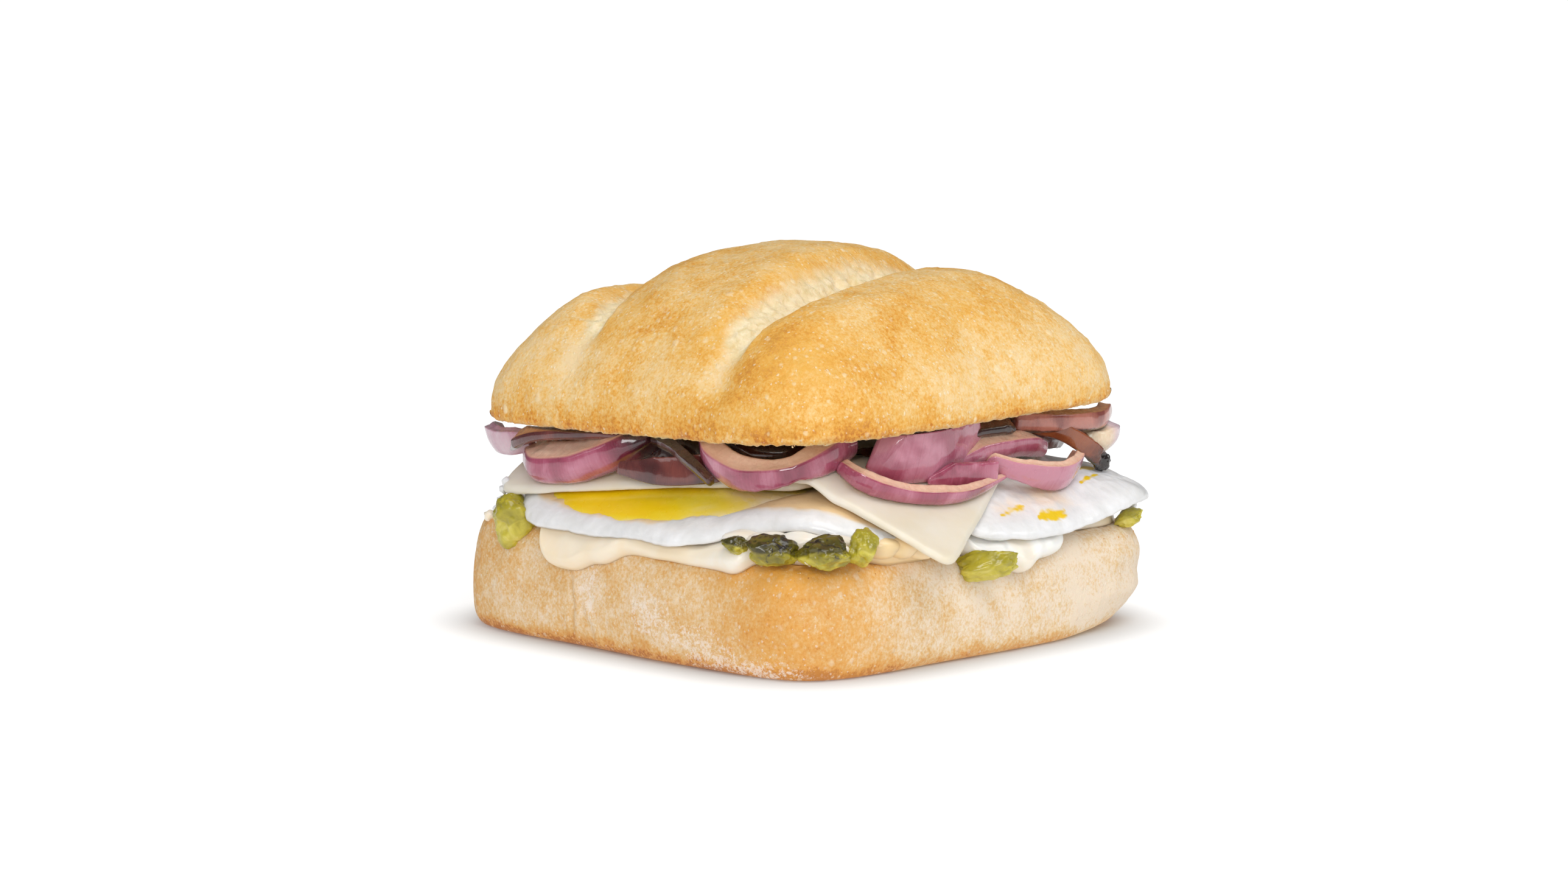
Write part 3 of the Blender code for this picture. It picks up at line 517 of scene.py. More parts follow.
def makeOnion(name, colours):
    # Glossy skin side, cut face and browned ends of a fried onion strip
    look, colours = onionLook, paintAll(colours)
    mat, tree, shader = startMaterial(name, look["shader"])
    spot = here(tree)
    drift = noiseOf(tree, spot, *look["drift"])
    run = addNode(tree, "ShaderNodeCombineXYZ",
                  {0: times(tree, maskOf(tree, "along"), look["veinRun"]),
                   1: times(tree, maskOf(tree, "across"), look["veinRise"]), 2: maskOf(tree,
                                                                                       "inward")}).outputs[0]
    veins = cloudOf(tree, run, *look["veins"])["Fac"]
    tone = plus(tree, remap(tree, drift, 0.25, 0.75, *look["skinTone"]),
                sway(tree, veins, look["veinTone"], 0.25, 0.75))
    tone = plus(tree, tone, remap(tree, maskOf(tree, "across"), 0.0, 0.2, look["footTone"], 0.0))
    tone = plus(tree, tone, maskOf(tree, "deep"), True)
    skin = rampOf(tree, tone, zip(look["skinStops"], colours["skin"]))
    depth = plus(tree, maskOf(tree, "inward"), sway(tree, drift, 0.05, 0.25, 0.75), True)
    flesh = rampOf(tree, depth, [(0.0, colours["skin"][1]), (0.1, colours["fleshDark"]),
                                 (0.3, colours["flesh"]), (0.8, colours["flesh"]), (1.0,
                                                                                    colours["fleshDark"])])
    fibres = remap(tree, noiseOf(tree, spot, *look["fibres"]), 0.35, 0.7, 0.0, 0.5)
    flesh = mixColour(tree, fibres, flesh, colours["fleshDark"])
    colour = mixColour(tree, maskOf(tree, "skin"), flesh, skin)
    blots = sway(tree, noiseOf(tree, spot, *look["toastBlots"]), 0.22, 0.35, 0.75)
    toast = plus(tree, maskOf(tree, "toast"), blots, True)
    colour = mixColour(tree, remap(tree, toast, 0.3, 0.75), colour, colours["toast"])
    colour = mixColour(tree, remap(tree, toast, 0.72, 0.98), colour, colours["burnt"])
    wet = place(tree, wetGroup, Vector=spot, **look["surface"])
    height = plus(tree, times(tree, wet["Height"], 0.5), times(tree, veins, 0.3))
    wire(tree, shader, Base_Color=colour, Normal=bumpOf(tree, height, *look["bump"]),
         Roughness=wet["Roughness"],
         Coat_Weight=remap(tree, maskOf(tree, "skin"), 0.0, 1.0, *look["coat"]))
    return mat


onionFinish = {tone: makeOnion(tone + "Onion", colours) for tone, colours in onionColours.items()}


# Finishes of egg, sauce, cheese and chile

eggWhiteLook = {
    "shader": {"Subsurface Weight": 0.25, "Subsurface Scale": 0.003, "Subsurface Radius": (1.0, 0.9, 0.8),
               "Coat Weight": 0.5, "Coat Roughness": 0.14, "Specular IOR Level": 0.5},
    "clouds": (5.0, 4.0, 0.55, 0.4), "shade": (229, 229, 228), "light": (243, 243, 244),
    "halo": (246, 214, 166), "yolk": (244, 206, 20),
    "surface": {"Size": 420.0, "Gloss": 0.24, "Spread": 0.2}, "bump": (0.4, 0.55),
}
yolkLook = {
    "shader": {"Subsurface Weight": 0.15, "Subsurface Scale": 0.003, "Subsurface Radius": (1.0, 0.7, 0.15),
               "Coat Weight": 0.4, "Coat Roughness": 0.12},
    "drawnOut": (0.35, 1.0, 1.0), "clouds": (4.0, 3.0, 0.5, 0.5),
    "stops": (0.0, 0.22, 0.45, 0.75, 1.0),
    "colours": [(253, 236, 200), (255, 228, 122), (255, 224, 66), (255, 218, 30), (255, 212, 4)],
    "surface": {"Size": 200.0, "Gloss": 0.2, "Spread": 0.15}, "bump": (0.2, 0.5),
}
sauceLook = {
    "shader": {"Subsurface Weight": 0.2, "Subsurface Scale": 0.003, "Subsurface Radius": (1.0, 0.7, 0.4),
               "Coat Weight": 0.4, "Coat Roughness": 0.16, "Specular IOR Level": 0.45},
    "swirl": (11.0, 3.0, 0.5, 1.0), "stops": (0.0, 0.2, 0.42, 1.0),
    "colours": [(251, 249, 243), (250, 240, 224), (250, 231, 202), (245, 209, 148)],
    "surface": {"Size": 150.0, "Gloss": 0.28, "Spread": 0.14}, "bump": (0.3, 0.4),
}
cheeseLook = {
    "shader": {"Subsurface Weight": 0.3, "Subsurface Scale": 0.004, "Subsurface Radius": (1.0, 0.85, 0.55),
               "Coat Weight": 0.15, "Coat Roughness": 0.25, "Specular IOR Level": 0.4},
    "clouds": (12.0, 4.0, 0.5, 0.3), "shade": (230, 218, 194), "light": (238, 230, 215),
    "surface": {"Size": 240.0, "Gloss": 0.3, "Spread": 0.16}, "bump": (0.2, 0.4),
}
chileLook = {
    "shader": {"Subsurface Weight": 0.3, "Subsurface Scale": 0.003, "Subsurface Radius": (0.8, 1.0, 0.2),
               "Coat Weight": 0.5, "Coat Roughness": 0.14, "Specular IOR Level": 0.5},
    "drift": (4.5, 4.0, 0.55, 0.6), "burnt": (40, 32, 24),
    "surface": {"Size": 420.0, "Gloss": 0.22, "Spread": 0.2}, "bump": (0.35, 0.5),
    "green": {"flesh": [(164, 150, 24), (202, 188, 58), (230, 218, 118)],
              "skin": [(142, 132, 28), (188, 174, 48)], "char": -0.15},
    "charred": {"flesh": [(108, 98, 12), (154, 142, 28), (206, 192, 66)],
                "skin": [(60, 54, 12), (110, 100, 20)], "char": 0.14},
}


def makeEggWhite():
    look = eggWhiteLook
    mat, tree, shader = startMaterial("setEggWhite", look["shader"])
    spot = here(tree)
    clouds = noiseOf(tree, spot, *look["clouds"])
    colour = rampOf(tree, clouds, [(0.3, paint(*look["shade"])), (0.62, paint(*look["light"]))])
    halo = plus(tree, maskOf(tree, "halo"), sway(tree, clouds, 0.1), True)
    colour = mixColour(tree, remap(tree, halo, 0.08, 0.8), colour, paint(*look["halo"]))
    streak = plus(tree, maskOf(tree, "yolk"), sway(tree, noiseOf(tree, spot, 2.4, 2.0, 0.5), 0.2))
    colour = mixColour(tree, remap(tree, streak, 0.3, 0.75), colour, paint(*look["yolk"]))
    wire(tree, shader, Base_Color=colour)
    addMoisture(tree, shader, look)
    return mat


def makeYolk():
    look = yolkLook
    mat, tree, shader = startMaterial("softYolk", look["shader"])
    clouds = noiseOf(tree, stretched(tree, here(tree), look["drawnOut"]), *look["clouds"])
    rich = plus(tree, maskOf(tree, "rich"), sway(tree, clouds, 0.16), True)
    wire(tree, shader, Base_Color=rampOf(tree, rich, zip(look["stops"], paintAll(look["colours"]))))
    addMoisture(tree, shader, look)
    return mat


def makeSauceFinish():
    look = sauceLook
    mat, tree, shader = startMaterial("creamySauce", look["shader"])
    swirl = noiseOf(tree, here(tree), *look["swirl"])
    tone = plus(tree, maskOf(tree, "golden"), sway(tree, swirl, 0.1), True)
    wire(tree, shader, Base_Color=rampOf(tree, tone, zip(look["stops"], paintAll(look["colours"]))))
    addMoisture(tree, shader, look)
    return mat


def makeCheeseFinish():
    look = cheeseLook
    mat, tree, shader = startMaterial("mildCheese", look["shader"])
    clouds = noiseOf(tree, here(tree), *look["clouds"])
    wire(tree, shader, Base_Color=rampOf(tree, clouds,
                                         [(0.3, paint(*look["shade"])), (0.68, paint(*look["light"]))]))
    addMoisture(tree, shader, look)
    return mat


def makeChile(name, colours):
    # Roasted green chile: wet flesh, darker skin side and burnt blots
    look = chileLook
    mat, tree, shader = startMaterial(name, look["shader"])
    spot = here(tree)
    drift = noiseOf(tree, spot, *look["drift"])
    body = rampOf(tree, drift, zip((0.3, 0.5, 0.7), paintAll(colours["flesh"])))
    outer = rampOf(tree, drift, zip((0.35, 0.65), paintAll(colours["skin"])))
    side = plus(tree, maskOf(tree, "outer"), sway(tree, drift, 0.2), True)
    colour = mixColour(tree, remap(tree, side, 0.35, 0.65), body, outer)
    amount = plus(tree, times(tree, maskOf(tree, "outer"), 0.3), colours["char"])
    burnt = place(tree, charGroup, Vector=spot, Amount=amount)
    wire(tree, shader, Base_Color=mixColour(tree, burnt["Mask"], colour, paint(*look["burnt"])))
    addMoisture(tree, shader, look)
    return mat


eggWhite = makeEggWhite()
softYolk = makeYolk()
creamySauce = makeSauceFinish()
mildCheese = makeCheeseFinish()
chileFinish = {tone: makeChile(tone + "Chile", chileLook[tone]) for tone in ("green", "charred")}
print("finishes ready")


# Bottom half of the roll

bottomRoll = {
    "half": 54.5, "power": 7, "height": 24.0, "cutLevel": 22.9, "cutFall": 0.0148,
    "profile": [(6.0, 0.0), (2.6, 0.15), (1.1, 1.2), (0.3, 3.4), (0.0, 8.0),
                (0.2, 12.5), (1.3, 18.5), (2.9, 22.0), (5.0, 23.5), (8.0, 24.0)],
    "rightCorner": (45, 11, 30), "footTuck": 7.0, "footHeight": 9.0,
    "shoulderBulge": 1.5, "shoulderFrom": 12.0, "shoulderTo": 19.0,
    "around": 1000, "up": 74, "underShares": (0.1, 0.5, 0.8, 0.95),
    "cutShares": (0.985, 0.965, 0.94, 0.91, 0.87, 0.8, 0.6, 0.3, 0.08),
    # depth and width of each kind of unevenness
    "lumps": (0.4, 17), "dimples": (0.13, 3.6), "blisters": (0.12, 3.4), "tornRim": (0.25, 1.6),
    "crumb": (0.35, 2.6),
    # creases in the side: heading, lowest and highest point, how far it leans, depth
    "creases": [(-103.5, 3.0, 17.0, 1.5, 0.5), (-97.5, 1.0, 9.0, 3.0, 0.3), (-132.0, 4.0, 15.0, -1.0, 0.3)],
    "nearCorner": (-45, 14, 26), "rightFace": (8, 40, 26), "leftCorner": (-135, 10, 20),
    "farRight": (36, 14, 16),
    # browning: everywhere, then what each place adds or takes away
    "brownest": {"all": 0.34, "nearCorner": 0.26, "rightFoot": -0.22, "drift": 0.14, "foot": 0.62,
                 "footOnRight": -0.3,
                 "rim": 0.12, "rimAtCorner": -0.16, "rimOnRight": -0.08, "leftCorner": 0.16,
                 "farRight": -0.14},
    # where flour lies: middle and half sizes
    "flour": [((25, -54, 5), (9, 9, 4.0)), ((10, -54, 10), (7, 6, 5)), ((-8, -54, 12), (4, 6, 6)),
              ((40, -53, 2), (10, 9, 2.4)), ((50, -52, 13), (3, 3, 3)), ((-54, 10, 8), (8, 16, 6)),
              ((0, 55, 7), (16, 8, 5))],
}


def outlineRadius(angle, half, power):
    c, s = np.abs(np.cos(angle)), np.abs(np.sin(angle))
    return half / (c ** power + s ** power) ** (1 / power)


def beyondRim(x, y, half=bottomRoll["half"], power=bottomRoll["power"]):
    return ((np.abs(x / half) ** power + np.abs(y / half) ** power) ** (1 / power) - 1) * half


def sideWobble(angle):
    return 0.45 * np.sin(3 * angle + 0.6) + 0.3 * np.sin(5 * angle + 2.1) + 0.25 * np.sin(8 * angle)


def rimRadius(angle):
    return outlineRadius(angle, bottomRoll["half"], bottomRoll["power"]) + sideWobble(angle)


def cutLevel(x, y):
    return bottomRoll["cutLevel"] - bottomRoll["cutFall"] * (x + y)


def evenHeadings(radiusOf, steps, places):
    # Headings that share out an outline's length evenly; places run from 0 to 1
    angles = np.linspace(0, 2 * math.pi, steps)
    radius = radiusOf(angles)
    lengths = np.hypot(np.diff(radius * np.cos(angles)), np.diff(radius * np.sin(angles)))
    run = np.concatenate([[0], np.cumsum(lengths)])
    return np.interp(run[-1] * places, run, angles), angles, radius


def rimAngles(count):
    places = (np.arange(count) + 0.5) / count
    return evenHeadings(lambda turn: outlineRadius(turn, bottomRoll["half"], bottomRoll["power"]), 4001,
                        places)[0]


def rimPoint(angle, inset, height):
    spec = bottomRoll
    right = plateau(np.degrees(angle), *spec["rightCorner"])
    foot = np.maximum(1 - height / spec["footHeight"], 0) ** 1.2
    bulge = spec["shoulderBulge"] * softStep(height, spec["shoulderFrom"], spec["shoulderTo"])
    radius = rimRadius(angle) - (inset + right * (spec["footTuck"] * foot - bulge))
    x, y = radius * np.cos(angle), radius * np.sin(angle)
    return np.stack([x, y, height * cutLevel(x, y) / spec["height"]], -1)


def bottomRelief(grid, angles):
    # Lumps, dimples, blisters and the long creases of the side
    spec = bottomRoll
    relief = rough(grid, spec["lumps"], 3) + rough(grid, spec["dimples"], 5)
    relief += spec["blisters"][0] * blisterDots(grid, spec["blisters"][1], 11, 0.2, 0.5, 0.7, 0.5)
    height = grid[..., 2]
    for centre, low, high, lean, depth in spec["creases"]:
        run = (np.degrees(angles)[None, :] - centre + 180) % 360 - 180
        run = run * math.radians(1) * spec["half"] + lean * ((height - low) / (high - low)) ** 2
        run = run + 0.5 * uneven(grid, 4, 17)
        inside = softStep(height, low - 2, low + 2) * (1 - softStep(height, high - 3, high + 3))
        lip, fold = np.exp(-((run - 1.2) / 1.3) ** 2) * 0.7, np.exp(-(run / 0.7) ** 2)
        relief += depth * inside * (lip - fold)
    return relief


def bottomMasks(rings, crumbRings):
    spec, tint = bottomRoll, bottomRoll["brownest"]
    height = rings[..., 2]
    angle = np.degrees(np.arctan2(rings[..., 1], rings[..., 0]))
    near, right, leftCorner, farRight = (plateau(angle, *spec[place])
                                         for place in ("nearCorner", "rightFace", "leftCorner", "farRight"))
    foot = 1 - softStep(height + 1.2 * layered(rings, 4, 35), 0.4, 4.2)
    brown = (tint["all"] + tint["nearCorner"] * near + tint["rightFoot"] * right * softStep(height, 0, 6)
             + rough(rings, (tint["drift"], 22), 31))
    brown += (tint["foot"] + tint["footOnRight"] * right) * foot
    brown += (tint["rim"] + tint["rimAtCorner"] * near + tint["rimOnRight"] * right) * softStep(height, 19,
                                                                                                23)
    brown += tint["leftCorner"] * leftCorner * softStep(height, 4, 18) + tint["farRight"] * farRight
    # golden: a real deep yellow at the near corner, plus a rise near the rim there that is painted light
    # against the shade under the sauce and chiles
    golden = 0.5 * near * (0.6 + 0.5 * layered(rings, 12, 37) + softStep(height, 15,
                                                                         21)) + 0.12 * (1 - right)
    opened = np.zeros(height.shape)
    opened[-crumbRings:] = 1
    opened[-crumbRings - 3:-crumbRings] = 0.55
    flour = sum(hill(rings, centre, sizes) for centre, sizes in spec["flour"]) + 0.12 * layered(rings, 9,
                                                                                                33)
    return {"browning": brown, "opened": opened, "flour": np.clip(flour, 0, 1),
            "golden": np.clip(golden, 0, 1)}


def buildBottomRoll():
    spec = bottomRoll
    angles = rimAngles(spec["around"])
    side = curveThrough(spec["profile"], spec["up"])
    grid = np.stack([rimPoint(angles, inset, max(height, 0)) for inset, height in side])
    normal = slopeNormals(grid, True)
    outward = np.sign((normal[20, :, :2] * grid[20, :, :2]).sum(-1).mean())
    top = softStep(side[:, 1], 22.5, 24)[:, None]
    relief = bottomRelief(grid, angles) * (1 - 0.6 * top) + top * rough(grid, spec["tornRim"], 9)
    grid = grid + outward * normal * relief[..., None] * softStep(grid[..., 2], 0, 1.5)[..., None]
    grid[..., 2] = np.maximum(grid[..., 2], 0)
    under = np.stack([grid[0] * (share, share, 0) for share in spec["underShares"]])
    over = np.stack([grid[-1] * (share, share, 1) for share in spec["cutShares"]])
    over[..., 2] = cutLevel(over[..., 0], over[..., 1]) + rough(over, spec["crumb"], 21)
    rings = np.concatenate([under, grid, over])
    makeRinged("bottomRollCrust", rings, bottomCrust, ["roll_bottom"],
               bottomMasks(rings, len(over)))
    print("bottom half of the roll done")


# Top half of the roll

topRoll = {
    "half": 51.5, "power": 6, "crownPower": 2.6, "base": 45.25, "tilt": (0.0385, 0.0085), "edge": 2.2,
    "rise": 33.0,
    "shift": -0.7, "lobeSwell": 2.0, "softSide": 11.0, "lipSide": 5.0, "scoreDepth": 5.2, "steps": 160,
    # each score from its near end, the width of its torn strip by the run along it, and how deep it
    # cuts into the side of the roll
    "scores": [
        {"line": [(27.0, -56.0), (23.4, -44.0), (23.6, -34.0), (22.5, -20.0), (18.4, 2.0), (14.0, 20.0),
                  (7.7, 46.0)],
         "torn": [(0, 1.0), (11, 2.6), (17, 7.2), (25, 8.6), (60, 8.6), (80, 7.0), (98, 3.0)],
         "sideGroove": 1.1},
        {"line": [(-18.5, -56.0), (-17.6, -46.0), (-18.4, -38.0), (-22.0, -29.0), (-25.6, -18.0),
                  (-27.6, -4.0),
                  (-30.0, 44.0)],
         "torn": [(0, 1.0), (10, 2.4), (17, 5.4), (60, 6.6), (80, 5.0), (98, 3.0)], "sideGroove": 0.7},
    ],
    # depth and width of each kind of unevenness
    "lumps": (0.5, 15), "dimples": (0.16, 4), "blisters": (0.14, 2.8), "rimBumps": (0.3, 1.7),
    "rimRaggedness": (0.45, 2.0),
    "fray": (0.7, 5), "fineFray": (0.35, 1.5), "cutCrumb": (0.45, 1.8), "cutHollows": (0.25, 7),
    "crumbPits": (0.4, 1.8), "pits": (0.7, 2.6), "deepPits": (1.9, 3.0), "allOver": -0.3,
    # browning: everywhere, then what each place adds or takes away
    "brownest": {"all": 0.35, "shoulders": 0.06, "byScore": 0.06, "nearCorner": 0.36, "rightFace": -0.08,
                 "lobe": 0.05, "drift": 0.2, "rim": 0.24, "cutFace": 0.7},
    "nearCorner": ((34, -34, 56), (24, 24, 16)), "middleLobe": ((-4, -22, 72), (17, 24, 12)),
    "rightFace": (0, 36, 24),
    # where the crust is a deep yellow: middle, half sizes, strength
    "yellowSpots": [((17.5, -42.5, 67), (4.5, 4.5, 4.5), 0.8), ((38.0, -38.0, 63), (9, 7, 7), 0.5),
                    ((14.0, -12.0, 77), (7, 9, 4), 0.6), ((-12.0, -38.0, 68), (5, 7, 5), 0.35),
                    ((39.0, 10.0, 70), (9, 16, 7), 0.3)],
    # dips in the side: middle, half size, depth
    "sideDips": [((48.3, 6.8, 57), 9.0, 0.9), ((-29.0, -46.0, 60), 8.0, 0.4)],
    # how the cut edge turns under: share of the outline, height, openness; then the crumb of the cut face
    "turnedEdge": [(1.001, 0.72, 0.0), (0.999, 0.44, 0.02), (0.994, 0.2, 0.1), (0.987, 0.06, 0.4),
                   (0.976, 0.0, 0.9)],
    "cutShares": (0.96, 0.94, 0.915, 0.88, 0.83, 0.74, 0.55, 0.3, 0.08),
}


def topCutLevel(x, y):
    return topRoll["base"] + topRoll["tilt"][0] * x + topRoll["tilt"][1] * y


def nearLine(x, y, line):
    # Signed distance to the score, positive on its right, and the run along it
    best, along, start = np.full(x.shape, 1e9), np.zeros(x.shape), 0.0
    for a, b in zip(line, line[1:]):
        dx, dy = b[0] - a[0], b[1] - a[1]
        length = math.hypot(dx, dy)
        share = np.clip(((x - a[0]) * dx + (y - a[1]) * dy) / length ** 2, 0, 1)
        px, py = a[0] + share * dx, a[1] + share * dy
        gap = np.hypot(x - px, y - py) * np.where((x - px) * dy - (y - py) * dx >= 0, 1, -1)
        nearer = np.abs(gap) < np.abs(best)
        best, along = np.where(nearer, gap, best), np.where(nearer, start + share * length, along)
        start += length
    return best, along, start


def ridge(gap, centre, width):
    # 1 along a line beside the score, falling off on both sides
    return np.exp(-((gap - centre) / width) ** 2)


def cutScores(flat, rise):
    # What the scores do to the crust: drop, lip, groove and valley, and where it is torn open
    spec = topRoll
    x, y = flat[..., 0], flat[..., 1]
    field = {kind: np.zeros(x.shape) for kind in ("drop", "groove", "valley", "opened", "lip", "golden",
                                                  "pitted")}
    field["nearest"] = np.full(x.shape, 100.0)
    fray = rough(flat, spec["fray"], 41) + spec["fineFray"][0] * uneven(flat, spec["fineFray"][1], 43)
    onSide = (1 - softStep(rise, 0.5, 0.75)) * softStep(rise, 0.12, 0.35)
    for score in spec["scores"]:
        gap, run, length = nearLine(x, y, score["line"])
        width = np.interp(run, *zip(*score["torn"]))
        ends = softStep(run, 10, 36) * (1 - softStep(run, length - 20, length))
        inside = softStep(run, 10, 17) * (1 - softStep(run, length - 12, length - 3))
        side = 1 - np.where(gap < 0, softStep(-gap, 0.0, spec["softSide"]),
                            softStep(gap, 0.0, spec["lipSide"]))
        edge = softStep(gap + fray * 1.5, -width, -width * 0.5) * (1 - softStep(gap + fray * 0.4, 0.2, 0.8))
        torn = gap + fray * 0.4
        field["drop"] += spec["scoreDepth"] * side * (0.12 + 0.88 * ends)
        field["nearest"] = np.minimum(field["nearest"], np.abs(gap))
        field["groove"] += score["sideGroove"] * ridge(gap, 0, 4.5) * onSide * (1 - softStep(run, 25, 45))
        field["valley"] += 0.4 * ridge(gap, -1.5, 3.5) * (1 - softStep(run, 14, 30)) * softStep(rise, 0.15,
                                                                                                0.4)
        field["lip"] += inside * (ridge(torn, 1.9, 1.4) * 0.9 - ridge(torn, -0.6, 1.2) * 0.8)
        field["opened"] = np.maximum(field["opened"], inside * edge)
        field["pitted"] = np.maximum(field["pitted"], inside * ridge(gap, -width * 0.45, 1.7))
        for golden in (ridge(gap, -width - 0.8 - fray, 2.4) * 0.35, ridge(gap, 3.0, 2.2) * 0.3):
            field["golden"] = np.maximum(field["golden"], inside * golden)
    return field


def topRelief(grid, field, lowest):
    spec = topRoll
    opened = field["opened"]
    bumps = rough(grid, spec["lumps"], 45) + rough(grid, spec["dimples"],
                                                   47) + spec["allOver"] - field["groove"]
    bumps += spec["blisters"][0] * blisterDots(grid, spec["blisters"][1], 13, 0.15, 0.45, 0.8,
                                               0.45) * (1 - opened)
    pits = spec["pits"][0] * np.maximum(uneven(grid, spec["pits"][1], 53) - 0.2, 0)
    deepPits = spec["deepPits"][0] * np.maximum(uneven(grid, spec["deepPits"][1], 54) - 0.05, 0)
    bumps += opened * (rough(grid, spec["crumbPits"], 51) - pits) - field["pitted"] * deepPits
    for middle, size, depth in spec["sideDips"]:
        bumps -= depth * hill(grid, middle, (size,) * 3)
    return bumps + lowest * (rough(grid, spec["rimBumps"], 62) - 0.1)


def topMasks(grid, field, rise, lowest, angle):
    # Deepest brown on the shoulders by the scores, pale and peachy low on the sides
    spec, tint = topRoll, topRoll["brownest"]
    shoulders = softStep(rise, 0.25, 0.6) * (1 - 0.3 * softStep(rise, 0.82, 1.0))
    byScore = ridge(field["nearest"], 6.0, 6.0) * softStep(rise, 0.3, 0.6)
    near = hill(grid, *spec["nearCorner"])
    face = plateau(np.degrees(angle), *spec["rightFace"]) * (1 - softStep(rise, 0.3, 0.7))
    brown = (tint["all"] + tint["shoulders"] * shoulders + tint["byScore"] * byScore + tint["nearCorner"]
             * near
             + tint["rightFace"] * face + tint["lobe"] * hill(grid, *spec["middleLobe"]) - field["valley"]
             + rough(grid, (tint["drift"], 20), 55) + tint["rim"] * lowest)
    golden = field["golden"]
    for middle, sizes, strength in spec["yellowSpots"]:
        golden = np.maximum(golden, strength * hill(grid, middle, sizes))
    golden = np.clip(golden + 0.3 * near + 0.1 + 0.2 * layered(grid, 12, 63), 0,
                     1) * (1 - 0.6 * field["valley"])
    return {"browning": brown, "opened": field["opened"], "golden": golden,
            "flour": (0.1 + 0.2 * layered(grid, 12, 61)).clip(0, 1)}


def underTopRoll(rim):
    # Rings of the cut face, from the rim inwards, and how open the crumb of each is
    rings, opened = [], []
    for share, height, crumbly in topRoll["turnedEdge"] + [(share, 0.0,
                                                            1.0) for share in topRoll["cutShares"]]:
        ring = rim * (share, share, 1)
        away = ring * (1, 1, 0) / np.maximum(np.hypot(ring[:, 0], ring[:, 1]), 1e-9)[:, None]
        ring = ring + away * (0.35 * layered(ring, 1.6, 57) * (1 - height) * (share > 0.95))[:, None]
        crumb = rough(ring, topRoll["cutCrumb"], 58) + rough(ring, topRoll["cutHollows"], 59) + 0.25
        cut = topCutLevel(ring[:, 0], ring[:, 1]) + crumb
        ring[:, 2] = cut + (rim[:, 2] - cut) * height
        rings.append(ring)
        opened.append(np.full(len(ring), crumbly) + 0.2 * layered(ring, 2.5, 60))
    return np.stack(rings), np.clip(np.concatenate(opened + [[1.0]]), 0, 1)


def buildTopRoll():
    spec = topRoll
    n = spec["steps"]
    stops = np.sin(math.pi / 2 * np.arange(-n, n + 1) / n)
    a, b = np.meshgrid(stops, stops)
    m = np.maximum(np.abs(a), np.abs(b))
    power = spec["crownPower"] + (spec["power"] - spec["crownPower"]) * m ** 1.5
    norm = (np.abs(a) ** power + np.abs(b) ** power) ** (1 / power)
    scale = np.where(norm > 0, m / np.maximum(norm, 1e-9), 0)
    x, y = spec["half"] * a * scale, spec["half"] * b * scale
    rise = np.sqrt(np.maximum(1 - m * m, 0))
    z = topCutLevel(x, y) * (1 - rise) + spec["base"] * rise + spec["edge"] + (spec["rise"]
                                                                               - spec["edge"]) * rise
    angle = np.arctan2(y, x)
    field = cutScores(np.stack([x, y, z], -1), rise)
    relief = spec["lobeSwell"] * softStep(field["nearest"], 2.0, 14.0) * softStep(rise, 0.4,
                                                                                  0.8) - field["drop"]
    z = z + (relief + field["lip"]) * softStep(rise, 0.05, 0.55)
    swell = 1 + 0.012 * np.sin(3 * angle + 1) * m
    grid = np.stack([x * swell + spec["shift"], y * swell + spec["shift"], z], -1)
    normal = slopeNormals(grid, False)
    normal = normal * np.sign(normal[n, n, 2])
    lowest = 1 - softStep(rise, 0.0, 0.14)
    grid = grid + normal * topRelief(grid, field, lowest)[..., None]
    grid[..., 2] += lowest * rough(grid, spec["rimRaggedness"], 49)

    flat = grid.reshape(-1, 3)
    count = 2 * n + 1
    order = np.arange(count * count).reshape(count, count)
    rim = np.concatenate([order[0, :-1], order[:-1, -1], order[-1, :0:-1], order[:0:-1, 0]])
    quads = np.stack([order[:-1, :-1], order[:-1, 1:], order[1:, 1:], order[1:, :-1]], -1).reshape(-1, 4)
    rings, underOpened = underTopRoll(flat[rim])
    start, around = len(flat), len(rim)  # the rings' points follow the crust's
    points = np.vstack([flat, rings.reshape(-1, 3), rings[-1].mean(0)])
    after = np.roll(np.arange(around), -1)
    faces = quads.tolist()
    faces += np.stack([rim, start + np.arange(around), start + after, rim[after]], -1).tolist()
    faces += [face[::-1] for face in ringFaces(len(rings), around, start)]
    last = start + (len(rings) - 1) * around
    faces += [[last + j, len(points) - 1, last + (j + 1) % around] for j in range(around)]
    blank = np.zeros(len(points) - start)
    under = {"browning": blank + spec["brownest"]["cutFace"], "opened": underOpened, "golden": blank,
             "flour": blank}
    masks = topMasks(grid, field, rise, lowest, angle)
    masks = {name: np.concatenate([masks[name].ravel(), under[name]]) for name in under}
    makePiece("topRollCrust", points, faces, topCrust, ["roll_top"], masks)
    print("top half of the roll done")


buildBottomRoll()
buildTopRoll()


# The heap of egg that cheese and onion drape over

heap = {"top": 35.5, "slope": 0.62, "shoulder": 17.6, "soft": 8.0, "drapeGap": 0.6}


def crown(x, y):
    return heap["top"] - heap["slope"] * softRamp(beyondRim(x, y) + heap["shoulder"], heap["soft"])


# Sauce

